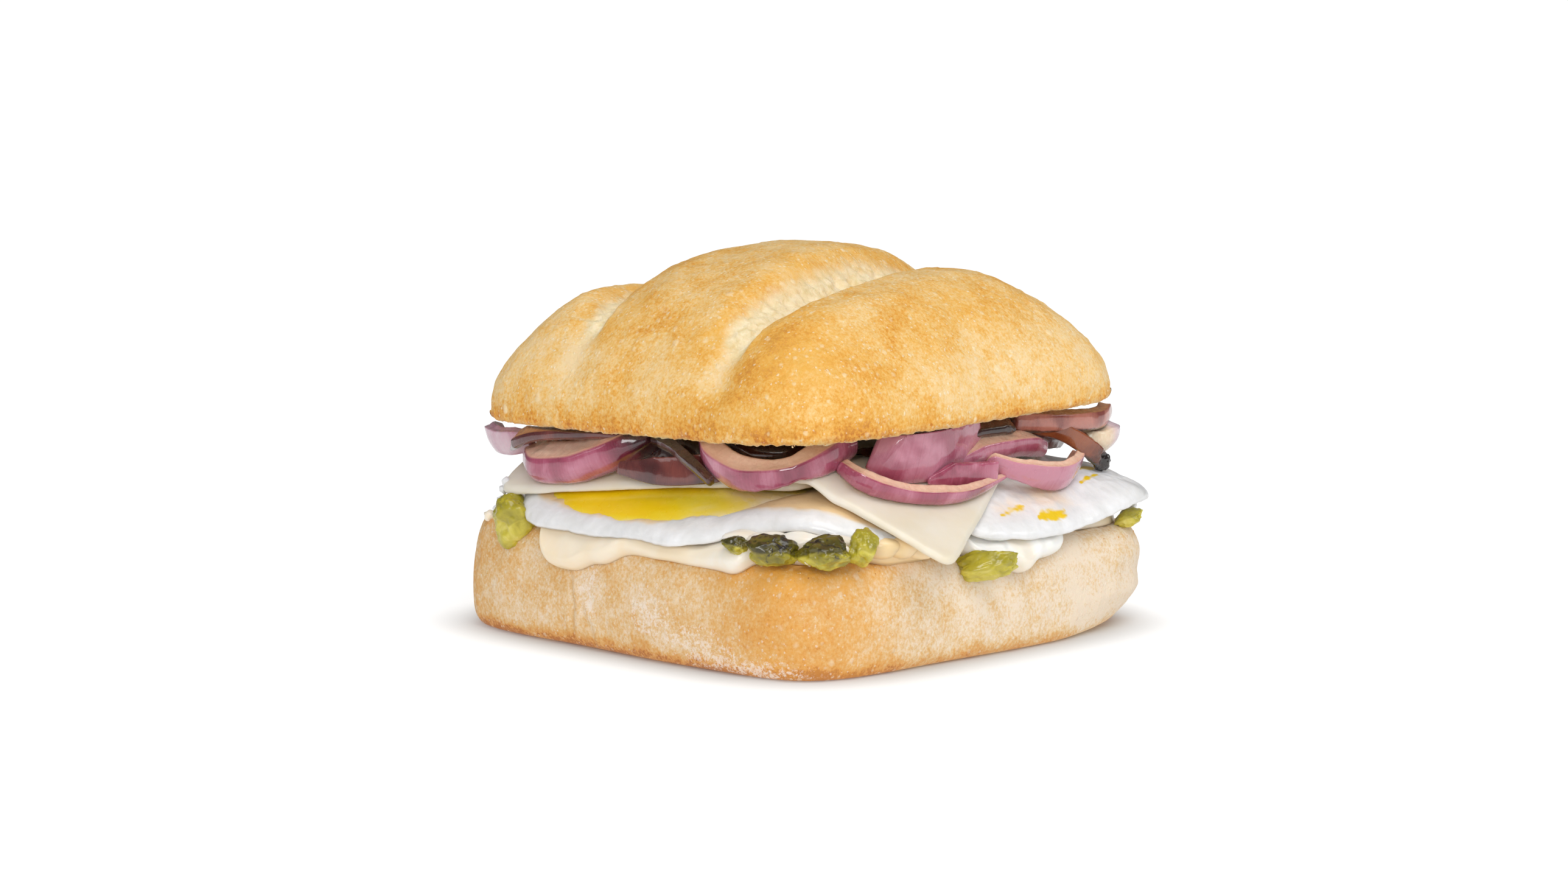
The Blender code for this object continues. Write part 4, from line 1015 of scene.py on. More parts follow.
sauce = {
    "thickness": 1.9, "shortest": 1.5, "start": -2.0, "offRoll": 0.45, "offRollBelow": (0.12, 0.3),
    "rimShoulder": 6.5, "rimFall": 0.75, "lipRound": 2.4, "lipSwell": 0.14,
    "thickSpots": [(3.4, (-24, 10, 8)), (1.3, (8, 17, 10)), (0.8, (-101, 16, 14)), (1.5, (-50, 14, 10))],
    # how far each lobe hangs over the rim: run, then heading, half width and softness
    "lobes": [(12.2, (-105, 8, 8)), (10.4, (-95, 8, 18)), (6.6, (-80, 23, 10)), (7.2, (-59, 4.5, 9)),
              (4.5, (-24, 9, 8)), (8.2, (7, 15, 6)), (11.8, (7, 3.5, 6)), (5.8, (78, 12, 12)),
              (8.0, (152, 14, 10)), (5.5, (204, 9, 10))],
    "around": 1000, "along": 34, "lipRings": 13, "evenedOver": (7.0, 24),
    # depth and width of its waves, more of them in the lumpy spot
    "edgeWave": (0.5, 9), "wave": 0.22, "lumpyWave": 0.3, "waveWidth": 8, "lumpySpot": (10, 20, 10),
    "smallLumps": (0.3, 3.5),
    # golden patches by heading, and paler ones
    "tone": 0.42, "golden": [(0.42, (-23, 11, 8)), (0.3, (6.5, 3.2, 3))],
    "pale": [(0.6, (12, 20, 12)), (0.2, (-60, 10, 14))],
}


def atHeadings(degrees, spots):
    # Each spot holds an amount, then heading, half width and softness
    return sum(amount * plateau(degrees, *spot) for amount, spot in spots)


def evenedRound(values, width, reach):
    # Evens out values that run right round
    spread = np.exp(-(np.arange(-reach, reach + 1) / width) ** 2)
    wrapped = np.concatenate([values[-reach:], values, values[:reach]])
    return np.convolve(wrapped, spread / spread.sum(), "valid")


def sauceRun(degrees):
    runs = [run * plateau(degrees, *lobe) for run, lobe in sauce["lobes"]]
    return np.maximum(np.max(runs, axis=0), sauce["shortest"])


def sauceDepth(degrees):
    return sauce["thickness"] + atHeadings(degrees, sauce["thickSpots"])


def sauceTop(x, y):
    angle = np.arctan2(y, x)
    pastShoulder = sauce["rimShoulder"] - (rimRadius(angle) - np.hypot(x, y))
    top = cutLevel(x, y) + heap["drapeGap"] + sauceDepth(np.degrees(angle))
    return top - sauce["rimFall"] * softRamp(pastShoulder, sauce["rimShoulder"])


rollSide = curveThrough(bottomRoll["profile"][::-1], 400)
rollSideRun = np.concatenate([[0], np.cumsum(np.hypot(*np.diff(rollSide, axis=0).T))])
rollSideSlope = np.gradient(rollSide, rollSideRun, axis=0)


def overRim(run, offset):
    # Inset and height at a run outwards over the rim, a little way off the roll
    at = np.maximum(run, 0)
    inset = np.interp(at, rollSideRun, rollSide[:, 0]) - np.minimum(run, 0)
    height = np.interp(at, rollSideRun, rollSide[:, 1])
    slope = [np.interp(at, rollSideRun, rollSideSlope[:, k]) for k in (0, 1)]
    length = np.hypot(*slope)
    return inset + slope[1] / length * offset, height - slope[0] / length * offset


def sauceRings(end, depth):
    # Run and distance off the roll: the upper side, the round lip, then back underneath
    spec = sauce
    start, lip, off, swell = spec["start"], spec["lipRound"], spec["offRoll"], spec["lipSwell"]
    below, more = spec["offRollBelow"]
    rings = [(start + (end - lip - start) * t, off + depth * (1 + swell * t ** 3))
             for t in np.linspace(0, 1, spec["along"])]
    rings += [(end - lip + lip * math.sin(turn),
               below + (off + depth * (1 + swell)) * math.cos(turn) ** 0.8)
              for turn in np.radians(np.linspace(8, 90, spec["lipRings"]))]
    return rings + [(start + (end - start) * t, below + more * (1 - t) + 0 * depth) for t in (0.97, 0.8,
                                                                                              0.5, 0.2, 0.0)]


def buildSauce():
    spec = sauce
    angles = rimAngles(spec["around"])
    degrees = np.degrees(angles)
    spots = np.stack([np.cos(angles), np.sin(angles), 0 * angles], -1) * bottomRoll["half"]
    end = evenedRound(sauceRun(degrees) + rough(spots, spec["edgeWave"], 71), *spec["evenedOver"])
    rings = sauceRings(end, sauceDepth(degrees))
    grid = np.stack([rimPoint(angles, *overRim(flow, offset)) for flow, offset in rings])
    normal = slopeNormals(grid, True)
    normal = normal * np.sign(normal[2, :, 2].mean())
    lumpy = plateau(degrees, *spec["lumpySpot"])
    ripple = (spec["wave"] + spec["lumpyWave"] * lumpy) * layered(grid, spec["waveWidth"], 73)
    ripple += lumpy * spec["smallLumps"][0] * uneven(grid, spec["smallLumps"][1], 75)
    reach = np.ones(len(rings))
    reach[spec["along"] + 8:] = 0  # none on the hidden side
    grid = grid + normal * (ripple * reach[:, None])[..., None]
    tone = spec["tone"] + atHeadings(degrees, spec["golden"]) - atHeadings(degrees, spec["pale"])
    points, faces = grid.reshape(-1, 3), ringFaces(len(rings), spec["around"])
    j = np.arange(spec["around"])
    after, last = np.roll(j, -1), (len(rings) - 1) * spec["around"]
    faces += np.stack([last + j, last + after, after, j], -1).tolist()
    masks = {"golden": np.broadcast_to(tone, grid.shape[:2])}
    makePiece("sauceDrape", points, faces, creamySauce, ["sauce"], masks)
    print("sauce done")


buildSauce()


# Eggs

eggs = {
    "left": (-6.0, -14.0), "right": (20.0, 30.0), "meetPoint": (57.0, -14.0), "meetHeading": 146.0,
    "meetGap": 1.2, "offSauce": 0.4, "around": 900, "rings": 58, "farthest": 109, "evenedOver": (16, 50),
    # how far the edge goes past the rim or stays inside it: run, then heading, half width, softness
    "edge": [(1.5, (-102, 12, 10)), (-7.8, (-50, 13, 24)), (-7.2, (-136, 14, 12)), (1.3, (19, 18, 14)),
             (2.4, (45, 6, 12))],
    "edgeWave": (0.1, 0.7), "lifts": [(2.6, (45, 12, 20)), (1.8, (-136, 10, 16))],
    # the slice edge: inset and drop, the last ones out of sight
    "lip": [(4.5, 0.0), (3.0, 0.02), (2.0, 0.12), (1.2, 0.35), (0.6, 0.7), (0.25, 1.15), (0.15, 1.7),
            (0.3, 2.2), (0.8, 2.7), (1.6, 3.1), (3.0, 4.2), (6.0, 6.4)],
    "lipInSight": 8, "underShares": (0.7, 0.4, 0.1), "underDrop": 12.0, "yolkSink": 0.7,
    # depth and width of each kind of unevenness
    "swell": (0.35, 9), "ripple": (0.08, 3.4), "fray": (0.5, 6), "fineFray": (0.06, 1.6),
    "bumps": (0.28, 6), "fineBumps": (0.06, 2.6),
    # streaks of yolk on the right egg: the two ends, half width, strength; then the warm tint round them
    "streaks": [((52.1, 4.0), (50.9, 12.1), 1.0, 0.75), ((54.0, 13.6), (54.0, 22.0), 1.5, 1.0),
                ((48.3, 32.3), (46.3, 39.6), 0.7, 0.8), ((44.0, 36.0), (43.0, 42.0), 1.0, 0.9)],
    "warmTints": [((49.5, 20.0), (4.5, 9.0), 0.45), ((50.5, 8.0), (3.5, 6.0), 0.35)],
}
yolk = {
    "centre": (2.0, -37.0), "radii": (32.0, 15.5), "turn": 7.0, "depth": 2.8, "around": 400, "rings": 40,
    "dome": 0.62, "sunk": 0.42, "edgeWave": 0.03, "swell": (0.18, 7),
    # outer edge of the warm tint round it
    "tintEdge": [(-36, -44), (-27.8, -51.0), (-12.1, -53.4), (7.3, -53.4), (23.6, -47.4), (38.5, -42.0),
                 (46.6, -35.0), (54, -26)],
}


def eggReach(degrees):
    usual, wave = eggs["edgeWave"]
    return usual + wave * np.sin(np.radians(5 * degrees + 40)) + atHeadings(degrees, eggs["edge"])


def eggLevel(x, y):
    lift = atHeadings(np.degrees(np.arctan2(y, x)), eggs["lifts"])
    flat = np.stack([x, y, 0 * x + 3.0], -1)
    bump = eggs["swell"][0] * uneven(flat, eggs["swell"][1], 81)
    bump = bump + rough(flat, eggs["ripple"], 83) * softStep(beyondRim(x, y), -20, -8)
    return crown(x, y) - 0.35 - bump + lift * softStep(beyondRim(x, y), -15.0, -2.0)


def eggRadii(centre, side):
    # How far the egg runs in each direction before it meets the rim or the other egg
    headings = 2 * math.pi * np.arange(eggs["around"]) / eggs["around"]
    away = math.radians(eggs["meetHeading"])
    across = (-math.sin(away), math.cos(away))
    radii = np.full(len(headings), 5.0)
    running = np.ones(len(headings), bool)
    while running.any():
        x, y = centre[0] + radii * np.cos(headings), centre[1] + radii * np.sin(headings)
        meet = (x - eggs["meetPoint"][0]) * across[0] + (y - eggs["meetPoint"][1]) * across[1]
        onRoll = beyondRim(x, y) <= eggReach(np.degrees(np.arctan2(y, x)))
        running &= (meet * side >= eggs["meetGap"]) & onRoll & (radii < eggs["farthest"])
        radii = radii + 0.2 * running
    return headings, evenedRound(radii, *eggs["evenedOver"])


def turned(a, b, degrees):
    turn = math.radians(degrees)
    return a * math.cos(turn) - b * math.sin(turn), a * math.sin(turn) + b * math.cos(turn)


def yolkShare(x, y):
    # 0 in the middle of the yolk, 1 at its edge
    a, b = turned(x - yolk["centre"][0], y - yolk["centre"][1], -yolk["turn"])
    return (np.abs(a / yolk["radii"][0]) ** 2.5 + np.abs(b / yolk["radii"][1]) ** 2.5) ** 0.4


def eggTints(grid, side):
    # Warm tint round the yolk of the left egg, and streaks of yolk on the right one
    x, y = grid[..., 0], grid[..., 1]
    halo, streak = np.zeros(x.shape), np.zeros(x.shape)
    if side > 0:
        inside = y - np.interp(x, *zip(*yolk["tintEdge"])) + 0.5 * layered(grid, 7, 93)
        return {"halo": softStep(inside, -0.6, 2.4) * softStep(x, -38, -28), "yolk": streak}
    ragged = 0.4 * layered(grid, 3.6, 95)
    for start, end, wide, strength in eggs["streaks"]:
        gap, run, length = nearLine(x, y, (start, end))
        taper = 0.35 + 0.65 * np.sin(math.pi * np.clip(run / length, 0, 1)) ** 0.7
        streak = np.maximum(streak, strength * (1 - softStep(np.abs(gap) + ragged, 0, wide * 1.7 * taper)))
    for (cx, cy), (wide, deep), strength in eggs["warmTints"]:
        halo = np.maximum(halo, strength * np.exp(-((x - cx) / wide) ** 2 - ((y - cy) / deep) ** 2))
    upper = np.arange(len(grid))[:, None] < eggs["rings"] + 6
    return {"halo": halo * upper, "yolk": streak * upper}


def buildEgg(name, node, centre, side):
    spec = eggs
    headings, radii = eggRadii(centre, side)
    c, s = np.cos(headings), np.sin(headings)
    spots = np.stack([centre[0] + radii * c, centre[1] + radii * s, 0 * c], -1)
    frayed = radii + rough(spots, spec["fray"], 85, 2) + spec["fineFray"][0] * uneven(spots,
                                                                                      spec["fineFray"][1], 87)
    rings = []  # radius, drop, and whether it is on the underside
    for share in np.linspace(0.002, 1.0, spec["rings"]) ** 0.55:
        rings.append((np.maximum(radii * share - 4.9 * share ** 3, 1.0), 0.0, False))
    for k, (inset, drop) in enumerate(spec["lip"]):
        hidden = k >= spec["lipInSight"]
        worn = 1.0 if hidden else float(softStep(4.6 - inset, 0.0, 3.6))
        rings.append((radii - inset + (frayed - radii) * worn, drop, hidden))
    rings += [(radii * share, spec["underDrop"], True) for share in spec["underShares"]]
    grid = []
    for r, drop, under in rings:
        x, y = centre[0] + r * c, centre[1] + r * s
        z = eggLevel(x, y) - drop
        z = z - spec["yolkSink"] * (1 - softStep(yolkShare(x, y), 0.8, 1.05)) * (side > 0)
        if under:
            z = np.maximum(z, sauceTop(x, y) + spec["offSauce"])
        grid.append(np.stack([x, y, z], -1))
    grid = np.stack(grid)
    normal = slopeNormals(grid, True)
    normal = normal * np.sign(normal[20, :, 2].mean())
    out = softStep(beyondRim(grid[..., 0], grid[..., 1]), -16, -6)
    bumps = out * (rough(grid, spec["fineBumps"], 89) + rough(grid, spec["bumps"], 91))
    grid = grid + normal * bumps[..., None]
    makeRinged(name, grid, eggWhite, [node], eggTints(grid, side))


def buildYolk():
    spec = yolk
    angles = 2 * math.pi * np.arange(spec["around"]) / spec["around"]
    c, s = np.cos(angles), np.sin(angles)
    edge = 1 + spec["edgeWave"] * layered(np.stack([c, s, 0 * angles], -1) * 20, 9, 97)
    a = spec["radii"][0] * edge * np.sign(c) * np.abs(c) ** 0.8
    b = spec["radii"][1] * edge * np.sign(s) * np.abs(s) ** 0.8
    rings, rich = [], []
    upper = [(share, True) for share in np.linspace(0.03, 1, spec["rings"])]
    for share, seen in upper + [(1.0, False), (0.6, False), (0.1, False)]:
        x, y = turned(a * share, b * share, spec["turn"])
        x, y = x + spec["centre"][0], y + spec["centre"][1]
        dome = spec["dome"] * (1 - share ** 6) - spec["sunk"]
        ring = np.stack([x, y, crown(x, y) - 0.3 + (dome if seen else -spec["depth"])], -1)
        if seen:
            ring[:, 2] += spec["swell"][0] * uneven(ring, spec["swell"][1], 99) * (1 - share ** 4)
        rings.append(ring)
        left = softStep(-x, -26, 0)
        rich.append((0.24 + 0.76 * left) * (1 - 0.8 * softStep(np.full(len(x), share), 0.88, 1.0)))
    makeRinged("yolkPool", np.stack(rings), softYolk, ["yolk_left"], {"rich": np.stack(rich)})


buildEgg("leftEggWhite", "egg_left", eggs["left"], 1)
buildEgg("rightEggWhite", "egg_right", eggs["right"], -1)
buildYolk()
print("eggs done")


# Cheese

cheese = {
    "thickness": 1.9, "around": 720, "power": 16,
    "under": {"centre": (-8.8, -6.0), "turn": 11.0, "sides": (76.0, 82.0)},
    "over": {"centre": (26.8, 3.2), "turn": 29.4, "sides": (40.0, 84.0)},
    "edgeWave": (0.35, 14),
}


def inSlice(x, y, spec, edge, soft):
    turn = math.radians(spec["turn"])
    dx, dy = x - spec["centre"][0], y - spec["centre"][1]
    a = np.abs(math.cos(turn) * dx + math.sin(turn) * dy) - spec["sides"][0] / 2
    b = np.abs(-math.sin(turn) * dx + math.cos(turn) * dy) - spec["sides"][1] / 2
    return 1 - softStep(np.maximum(a, b), edge, edge + soft)


def sliceLevel(x, y, upper):
    level = crown(x, y) + heap["drapeGap"]
    if upper:
        level = level + inSlice(x, y, cheese["under"], 2.0,
                                6.0) * (cheese["thickness"] + heap["drapeGap"] + 0.1)
    return level


def cheeseTop(x, y):
    level = crown(x, y)
    for spec, upper in ((cheese["under"], False), (cheese["over"], True)):
        over = sliceLevel(x, y, upper) + cheese["thickness"]
        level = level + inSlice(x, y, spec, 3.0, 6.0) * np.maximum(over - level, 0)
    return level


def buildSlice(name, node, spec, upper):
    halfA, halfB = spec["sides"][0] / 2, spec["sides"][1] / 2
    power = cheese["power"]

    def outline(turn):
        return 1 / ((np.abs(np.cos(turn)) / halfA) ** power
                    + (np.abs(np.sin(turn)) / halfB) ** power) ** (1 / power)

    places = np.arange(cheese["around"]) / cheese["around"]
    headings, angles, radius = evenHeadings(outline, 6001, places)
    radius = np.interp(headings, angles, radius)
    turn, half = math.radians(spec["turn"]), cheese["thickness"] / 2
    spots = np.stack([radius * np.cos(headings), radius * np.sin(headings), 0 * radius], -1)
    wave = rough(spots, cheese["edgeWave"], 101) + 0.08 * uneven(spots, 2.5, 103)

    def ring(share, inset, level):
        r = np.maximum((radius + wave) * share - inset, 0.5)
        a, b = r * np.cos(headings), r * np.sin(headings)
        x = spec["centre"][0] + a * math.cos(turn) - b * math.sin(turn)
        y = spec["centre"][1] + a * math.sin(turn) + b * math.cos(turn)
        points = np.stack([x, y, sliceLevel(x, y, upper) + level], -1)
        points[:, 2] += 0.1 * layered(points, 9, 105)
        return points

    rings = [ring(share, half * share ** 2, 2 * half) for share in np.linspace(0.02, 1, 46)]
    for k in range(1, 8):
        turnDown = math.pi * k / 8
        rings.append(ring(1, half * (1 - math.sin(turnDown)), half * (1 + math.cos(turnDown))))
    rings += [ring(share, half * share ** 2, 0) for share in (1, 0.95, 0.85, 0.7, 0.4, 0.02)]
    makeRinged(name, np.stack(rings), mildCheese, [node])


buildSlice("leftCheeseSlice", "cheese_1", cheese["under"], False)
buildSlice("frontCheeseSlice", "cheese_2", cheese["over"], True)
print("cheese done")


# Onion strips. Each path follows the strip's lower outer edge, in the near corner's view:
# across, away from that corner, and up.

onionStyle = {"along": 150, "section": 48, "underRoll": 0.45, "overCheese": 0.7, "wrinkle": 0.13,
              "ends": [(0, 0.66), (0.16, 0.94), (0.3, 1), (0.7, 1), (0.84, 0.94), (1, 0.66)]}
# bare strips are skin all round, peeled ones are flesh; ends gives the height by the share along
onionStrips = [
    {"name": "loop", "height": 6.8, "wall": 5.0, "lean": 0, "tone": "purple", "deep": 0.0,
     "ends": [(0, 0.8), (0.15, 1), (0.85, 1), (1, 0.9)],
     "path": [(-21.5, -36.0, 42.6), (-19.0, -44.0, 37.8), (-12.0, -52.0, 34.8), (-2.5, -55.5, 35.4),
              (5.0, -51.2, 38.7), (11.2, -41.0, 42.0)]},
    {"name": "left_arc", "height": 7.2, "wall": 8.6, "lean": -4, "tone": "purple", "deep": -0.02,
     "deepEnd": 0.62, "ends": [(0, 0.62), (0.1, 0.8), (0.3, 0.9), (1, 1)],
     "path": [(-58.6, -8.0, 33.8), (-55.6, -16.5, 31.6), (-46.5, -24.0, 32.8), (-36.0, -28.5, 37.2),
              (-26.6, -27.0, 41.8)]},
    {"name": "long_arc", "height": 3.8, "wall": 3.1, "lean": 0, "tone": "purple", "deep": -0.08,
     "ends": [(0, 0.7), (0.2, 1), (0.65, 0.95), (0.85, 0.6), (1, 0.1)],
     "path": [(5.4, -50.0, 39.6), (11.0, -53.0, 36.0), (20.5, -49.4, 32.6), (32.0, -40.8, 31.6),
              (42.4, -25.0, 33.9)]},
    {"name": "pink_petal", "height": 7.4, "wall": 2.4, "lean": 0, "tone": "purple", "deep": -0.34,
     "ends": [(0, 0.5), (0.25, 0.85), (0.6, 1), (0.85, 0.85), (1, 0.45)],
     "path": [(36.0, -27.0, 36.2), (43.4, -24.4, 32.2), (51.6, -18.0, 30.2), (55.2, -11.5, 31.4),
              (55.4, -6.0, 34.2)]},
    # the big petal's low deep makes its skin lighter: partly its own tone, partly a painted broad reflection
    # of a softbox
    {"name": "big_petal", "height": 12.5, "wall": 2.0, "lean": -20, "tone": "purple", "deep": -0.2,
     "bare": True,
     "ends": [(0, 0.8), (0.15, 1), (1, 1)],
     "path": [(11.8, -45.5, 39.4), (18.0, -45.0, 36.6), (27.0, -37.2, 35.9), (36.5, -24.0, 39.6)]},
    {"name": "brown_petal", "height": 6.4, "wall": 1.5, "lean": -38, "tone": "brown", "deep": 0.2,
     "bare": True,
     "ends": [(0, 0.4), (0.3, 0.9), (0.8, 1), (1, 0.8)],
     "path": [(-39.0, -31.5, 36.0), (-30.6, -38.0, 35.0), (-22.0, -42.6, 35.8), (-17.5, -45.0, 36.4)]},
    {"name": "dark_strand", "height": 2.6, "wall": 2.2, "lean": 0, "tone": "dark", "deep": 0.1,
     "bare": True,
     "path": [(-31.5, -31.0, 42.0), (-27.5, -37.0, 41.2), (-24.0, -43.0, 39.2), (-19.6, -47.6, 36.0)]},
    {"name": "under_strip", "height": 5.4, "wall": 1.6, "lean": -26, "tone": "purple", "deep": 0.0,
     "bare": True,
     "ends": [(0, 0.25), (0.35, 0.9), (1, 1)],
     "path": [(25.0, -40.5, 35.0), (29.5, -37.8, 34.6), (34.5, -33.5, 33.8), (39.0, -29.5, 33.2)]},
    {"name": "lilac_strip", "height": 4.6, "wall": 4.4, "lean": -4, "tone": "purple", "deep": -0.2,
     "ends": [(0, 0.4), (0.3, 0.9), (0.8, 1), (1, 0.8)],
     "path": [(31.0, -31.0, 36.4), (35.0, -27.5, 37.4), (40.0, -23.0, 37.8), (45.5, -17.0, 37.4),
              (49.5, -10.5, 36.0)]},
    {"name": "amber_strip", "height": 4.0, "wall": 2.4, "lean": -8, "tone": "amber", "deep": 0.0,
     "bare": True,
     "burntEnd": 1.0, "burntFoot": 0.4, "crisp": 0.7, "ends": [(0, 0.9), (0.7, 1), (1, 0.8)],
     "path": [(44.5, -14.0, 42.4), (53.0, -10.0, 39.6), (58.6, -5.8, 35.4), (62.2, -2.6, 31.8)]},
    {"name": "right_loop", "height": 4.2, "wall": 3.4, "lean": -14, "tone": "brown", "deep": -0.22,
     "burntFoot": 0.8, "ends": [(0, 1), (1, 0.9)],
     "path": [(43.0, -17.0, 42.6), (53.0, -10.8, 41.7), (61.6, -2.4, 41.2), (64.0, 6.0, 41.8)]},
    {"name": "right_piece", "height": 5.0, "wall": 4.6, "lean": 0, "tone": "pale", "deep": 0.0,
     "peeled": True,
     "path": [(56.5, -3.0, 36.8), (60.5, -1.5, 35.8), (63.8, 2.5, 36.2), (64.4, 8.0, 37.4)]},
    {"name": "left_strip", "height": 2.4, "wall": 4.6, "lean": 0, "tone": "brown", "deep": 0.16,
     "ends": [(0, 0.3), (0.15, 1), (1, 1)],
     "path": [(-61.8, -8.0, 36.6), (-57.0, -14.8, 40.0), (-48.0, -22.0, 41.8), (-37.0, -28.5, 42.6)]},
    {"name": "left_piece", "height": 5.8, "wall": 2.6, "lean": 0, "tone": "pale", "deep": 0.12,
     "bare": True,
     "path": [(-63.8, 9.0, 36.2), (-65.0, 1.5, 35.9), (-61.8, -4.2, 35.8), (-56.5, -7.5, 37.2)]},
    {"name": "left_filler", "height": 7.0, "wall": 6.0, "lean": 4, "tone": "brown", "deep": 0.1,
     "path": [(-54.0, 0.0, 36.2), (-49.0, -8.0, 36.6), (-41.0, -13.5, 37.6), (-32.0, -16.0, 38.4)]},
    {"name": "inner_arc", "height": 2.8, "wall": 3.0, "lean": 0, "tone": "dark", "deep": -0.1,
     "path": [(-16.0, -35.0, 42.2), (-11.0, -41.5, 41.1), (-4.0, -43.0, 41.0), (2.0, -39.0, 41.8)]},
    {"name": "dark_scraps", "height": 2.4, "wall": 4.0, "lean": 0, "tone": "dark", "deep": 0.1,
     "crisp": 0.4,
     "path": [(34.0, -27.5, 42.6), (39.0, -23.0, 42.7), (43.0, -20.0, 42.6)]},
    {"name": "right_filler", "height": 7.0, "wall": 6.0, "lean": 4, "tone": "brown", "deep": 0.15,
     "path": [(34.0, -17.5, 38.0), (42.0, -13.0, 37.4), (49.0, -6.0, 36.6), (54.0, 1.0, 36.0)]},
]
# dark shreds that show only in the gaps between the strips: partly dark onion seen there, partly a dark
# filler that paints the shade in those gaps
insideStrips = [
    {"name": "in_the_loop", "height": 5.0, "wall": 1.8, "lean": -20, "tone": "dark", "deep": -0.1,
     "bare": True,
     "path": [(-17.0, -34.0, 38.6), (-9.0, -39.0, 37.6), (0.0, -39.5, 37.6), (8.0, -34.0, 38.4)]},
    {"name": "by_the_petal", "height": 6.0, "wall": 1.8, "lean": -24, "tone": "dark", "deep": 0.0,
     "bare": True,
     "path": [(6.0, -39.0, 37.4), (13.0, -38.0, 37.0), (20.0, -32.0, 37.2), (27.0, -25.0, 37.8)]},
    {"name": "under_the_arc", "height": 5.5, "wall": 1.8, "lean": -24, "tone": "dark", "deep": 0.0,
     "bare": True,
     "path": [(-36.0, -23.0, 38.4), (-28.0, -29.0, 38.0), (-22.0, -33.0, 38.0), (-16.0, -33.0, 38.4)]},
]
# strips round the two far sides: heading, distance in from the rim, ring radius, half arc, lift,
# height and tone
farStrips = {
    "wall": 4.4, "lean": 8, "deep": 0.05,
    "strips": [(64, 8, 16, 64, 0.5, 7.0, "purple"), (91, 6, 19, 60, 0.5, 6.6, "purple"),
               (118, 8, 15, 72, 0.5, 7.4, "brown"), (146, 7, 16, 64, 0.5, 6.2, "purple"),
               (173, 6, 19, 60, 0.5, 5.6, "purple"), (200, 8, 15, 64, 0.5, 6.0, "brown")],
}


def onionSection(count):
    # Outline of a cut strip: inward and upward shares, and how much of each point is skin
    corners = [(0.07, 0.02, 1), (-0.03, 0.2, 1), (-0.08, 0.42, 1), (-0.06, 0.62, 1), (0.01, 0.82, 1),
               (0.09, 0.96, 1), (0.13, 1.0, 0.3), (0.2, 0.985, 0),
               (0.5, 0.965, 0), (0.88, 1.0, 0), (0.95, 0.97, 0), (0.99, 0.55, 0), (1.0, 0.08, 0),
               (0.94, 0.01, 0), (0.5, 0.02, 0), (0.12, 0.0, 0.3)]
    loop = np.array(corners + corners[:1], float)
    run = np.concatenate([[0], np.cumsum(np.hypot(*np.diff(loop[:, :2], axis=0).T))])
    at = run[-1] * np.arange(count) / count
    section = np.stack([np.interp(at, run, loop[:, k]) for k in range(3)], -1)
    return section


def farPath(heading, inset, radius, halfArc, lift):
    away = math.radians(heading)
    out = np.array((math.cos(away), math.sin(away)))
    along = np.array((-out[1], out[0]))
    middle = out * (float(outlineRadius(away, bottomRoll["half"], bottomRoll["power"])) - inset - radius)
    turns = np.radians(halfArc) * (np.arange(5) / 2 - 1)
    spots = middle + (np.outer(np.sin(turns), along) + np.outer(np.cos(turns), out)) * radius
    return np.column_stack([spots, cheeseTop(spots[:, 0], spots[:, 1]) + lift])


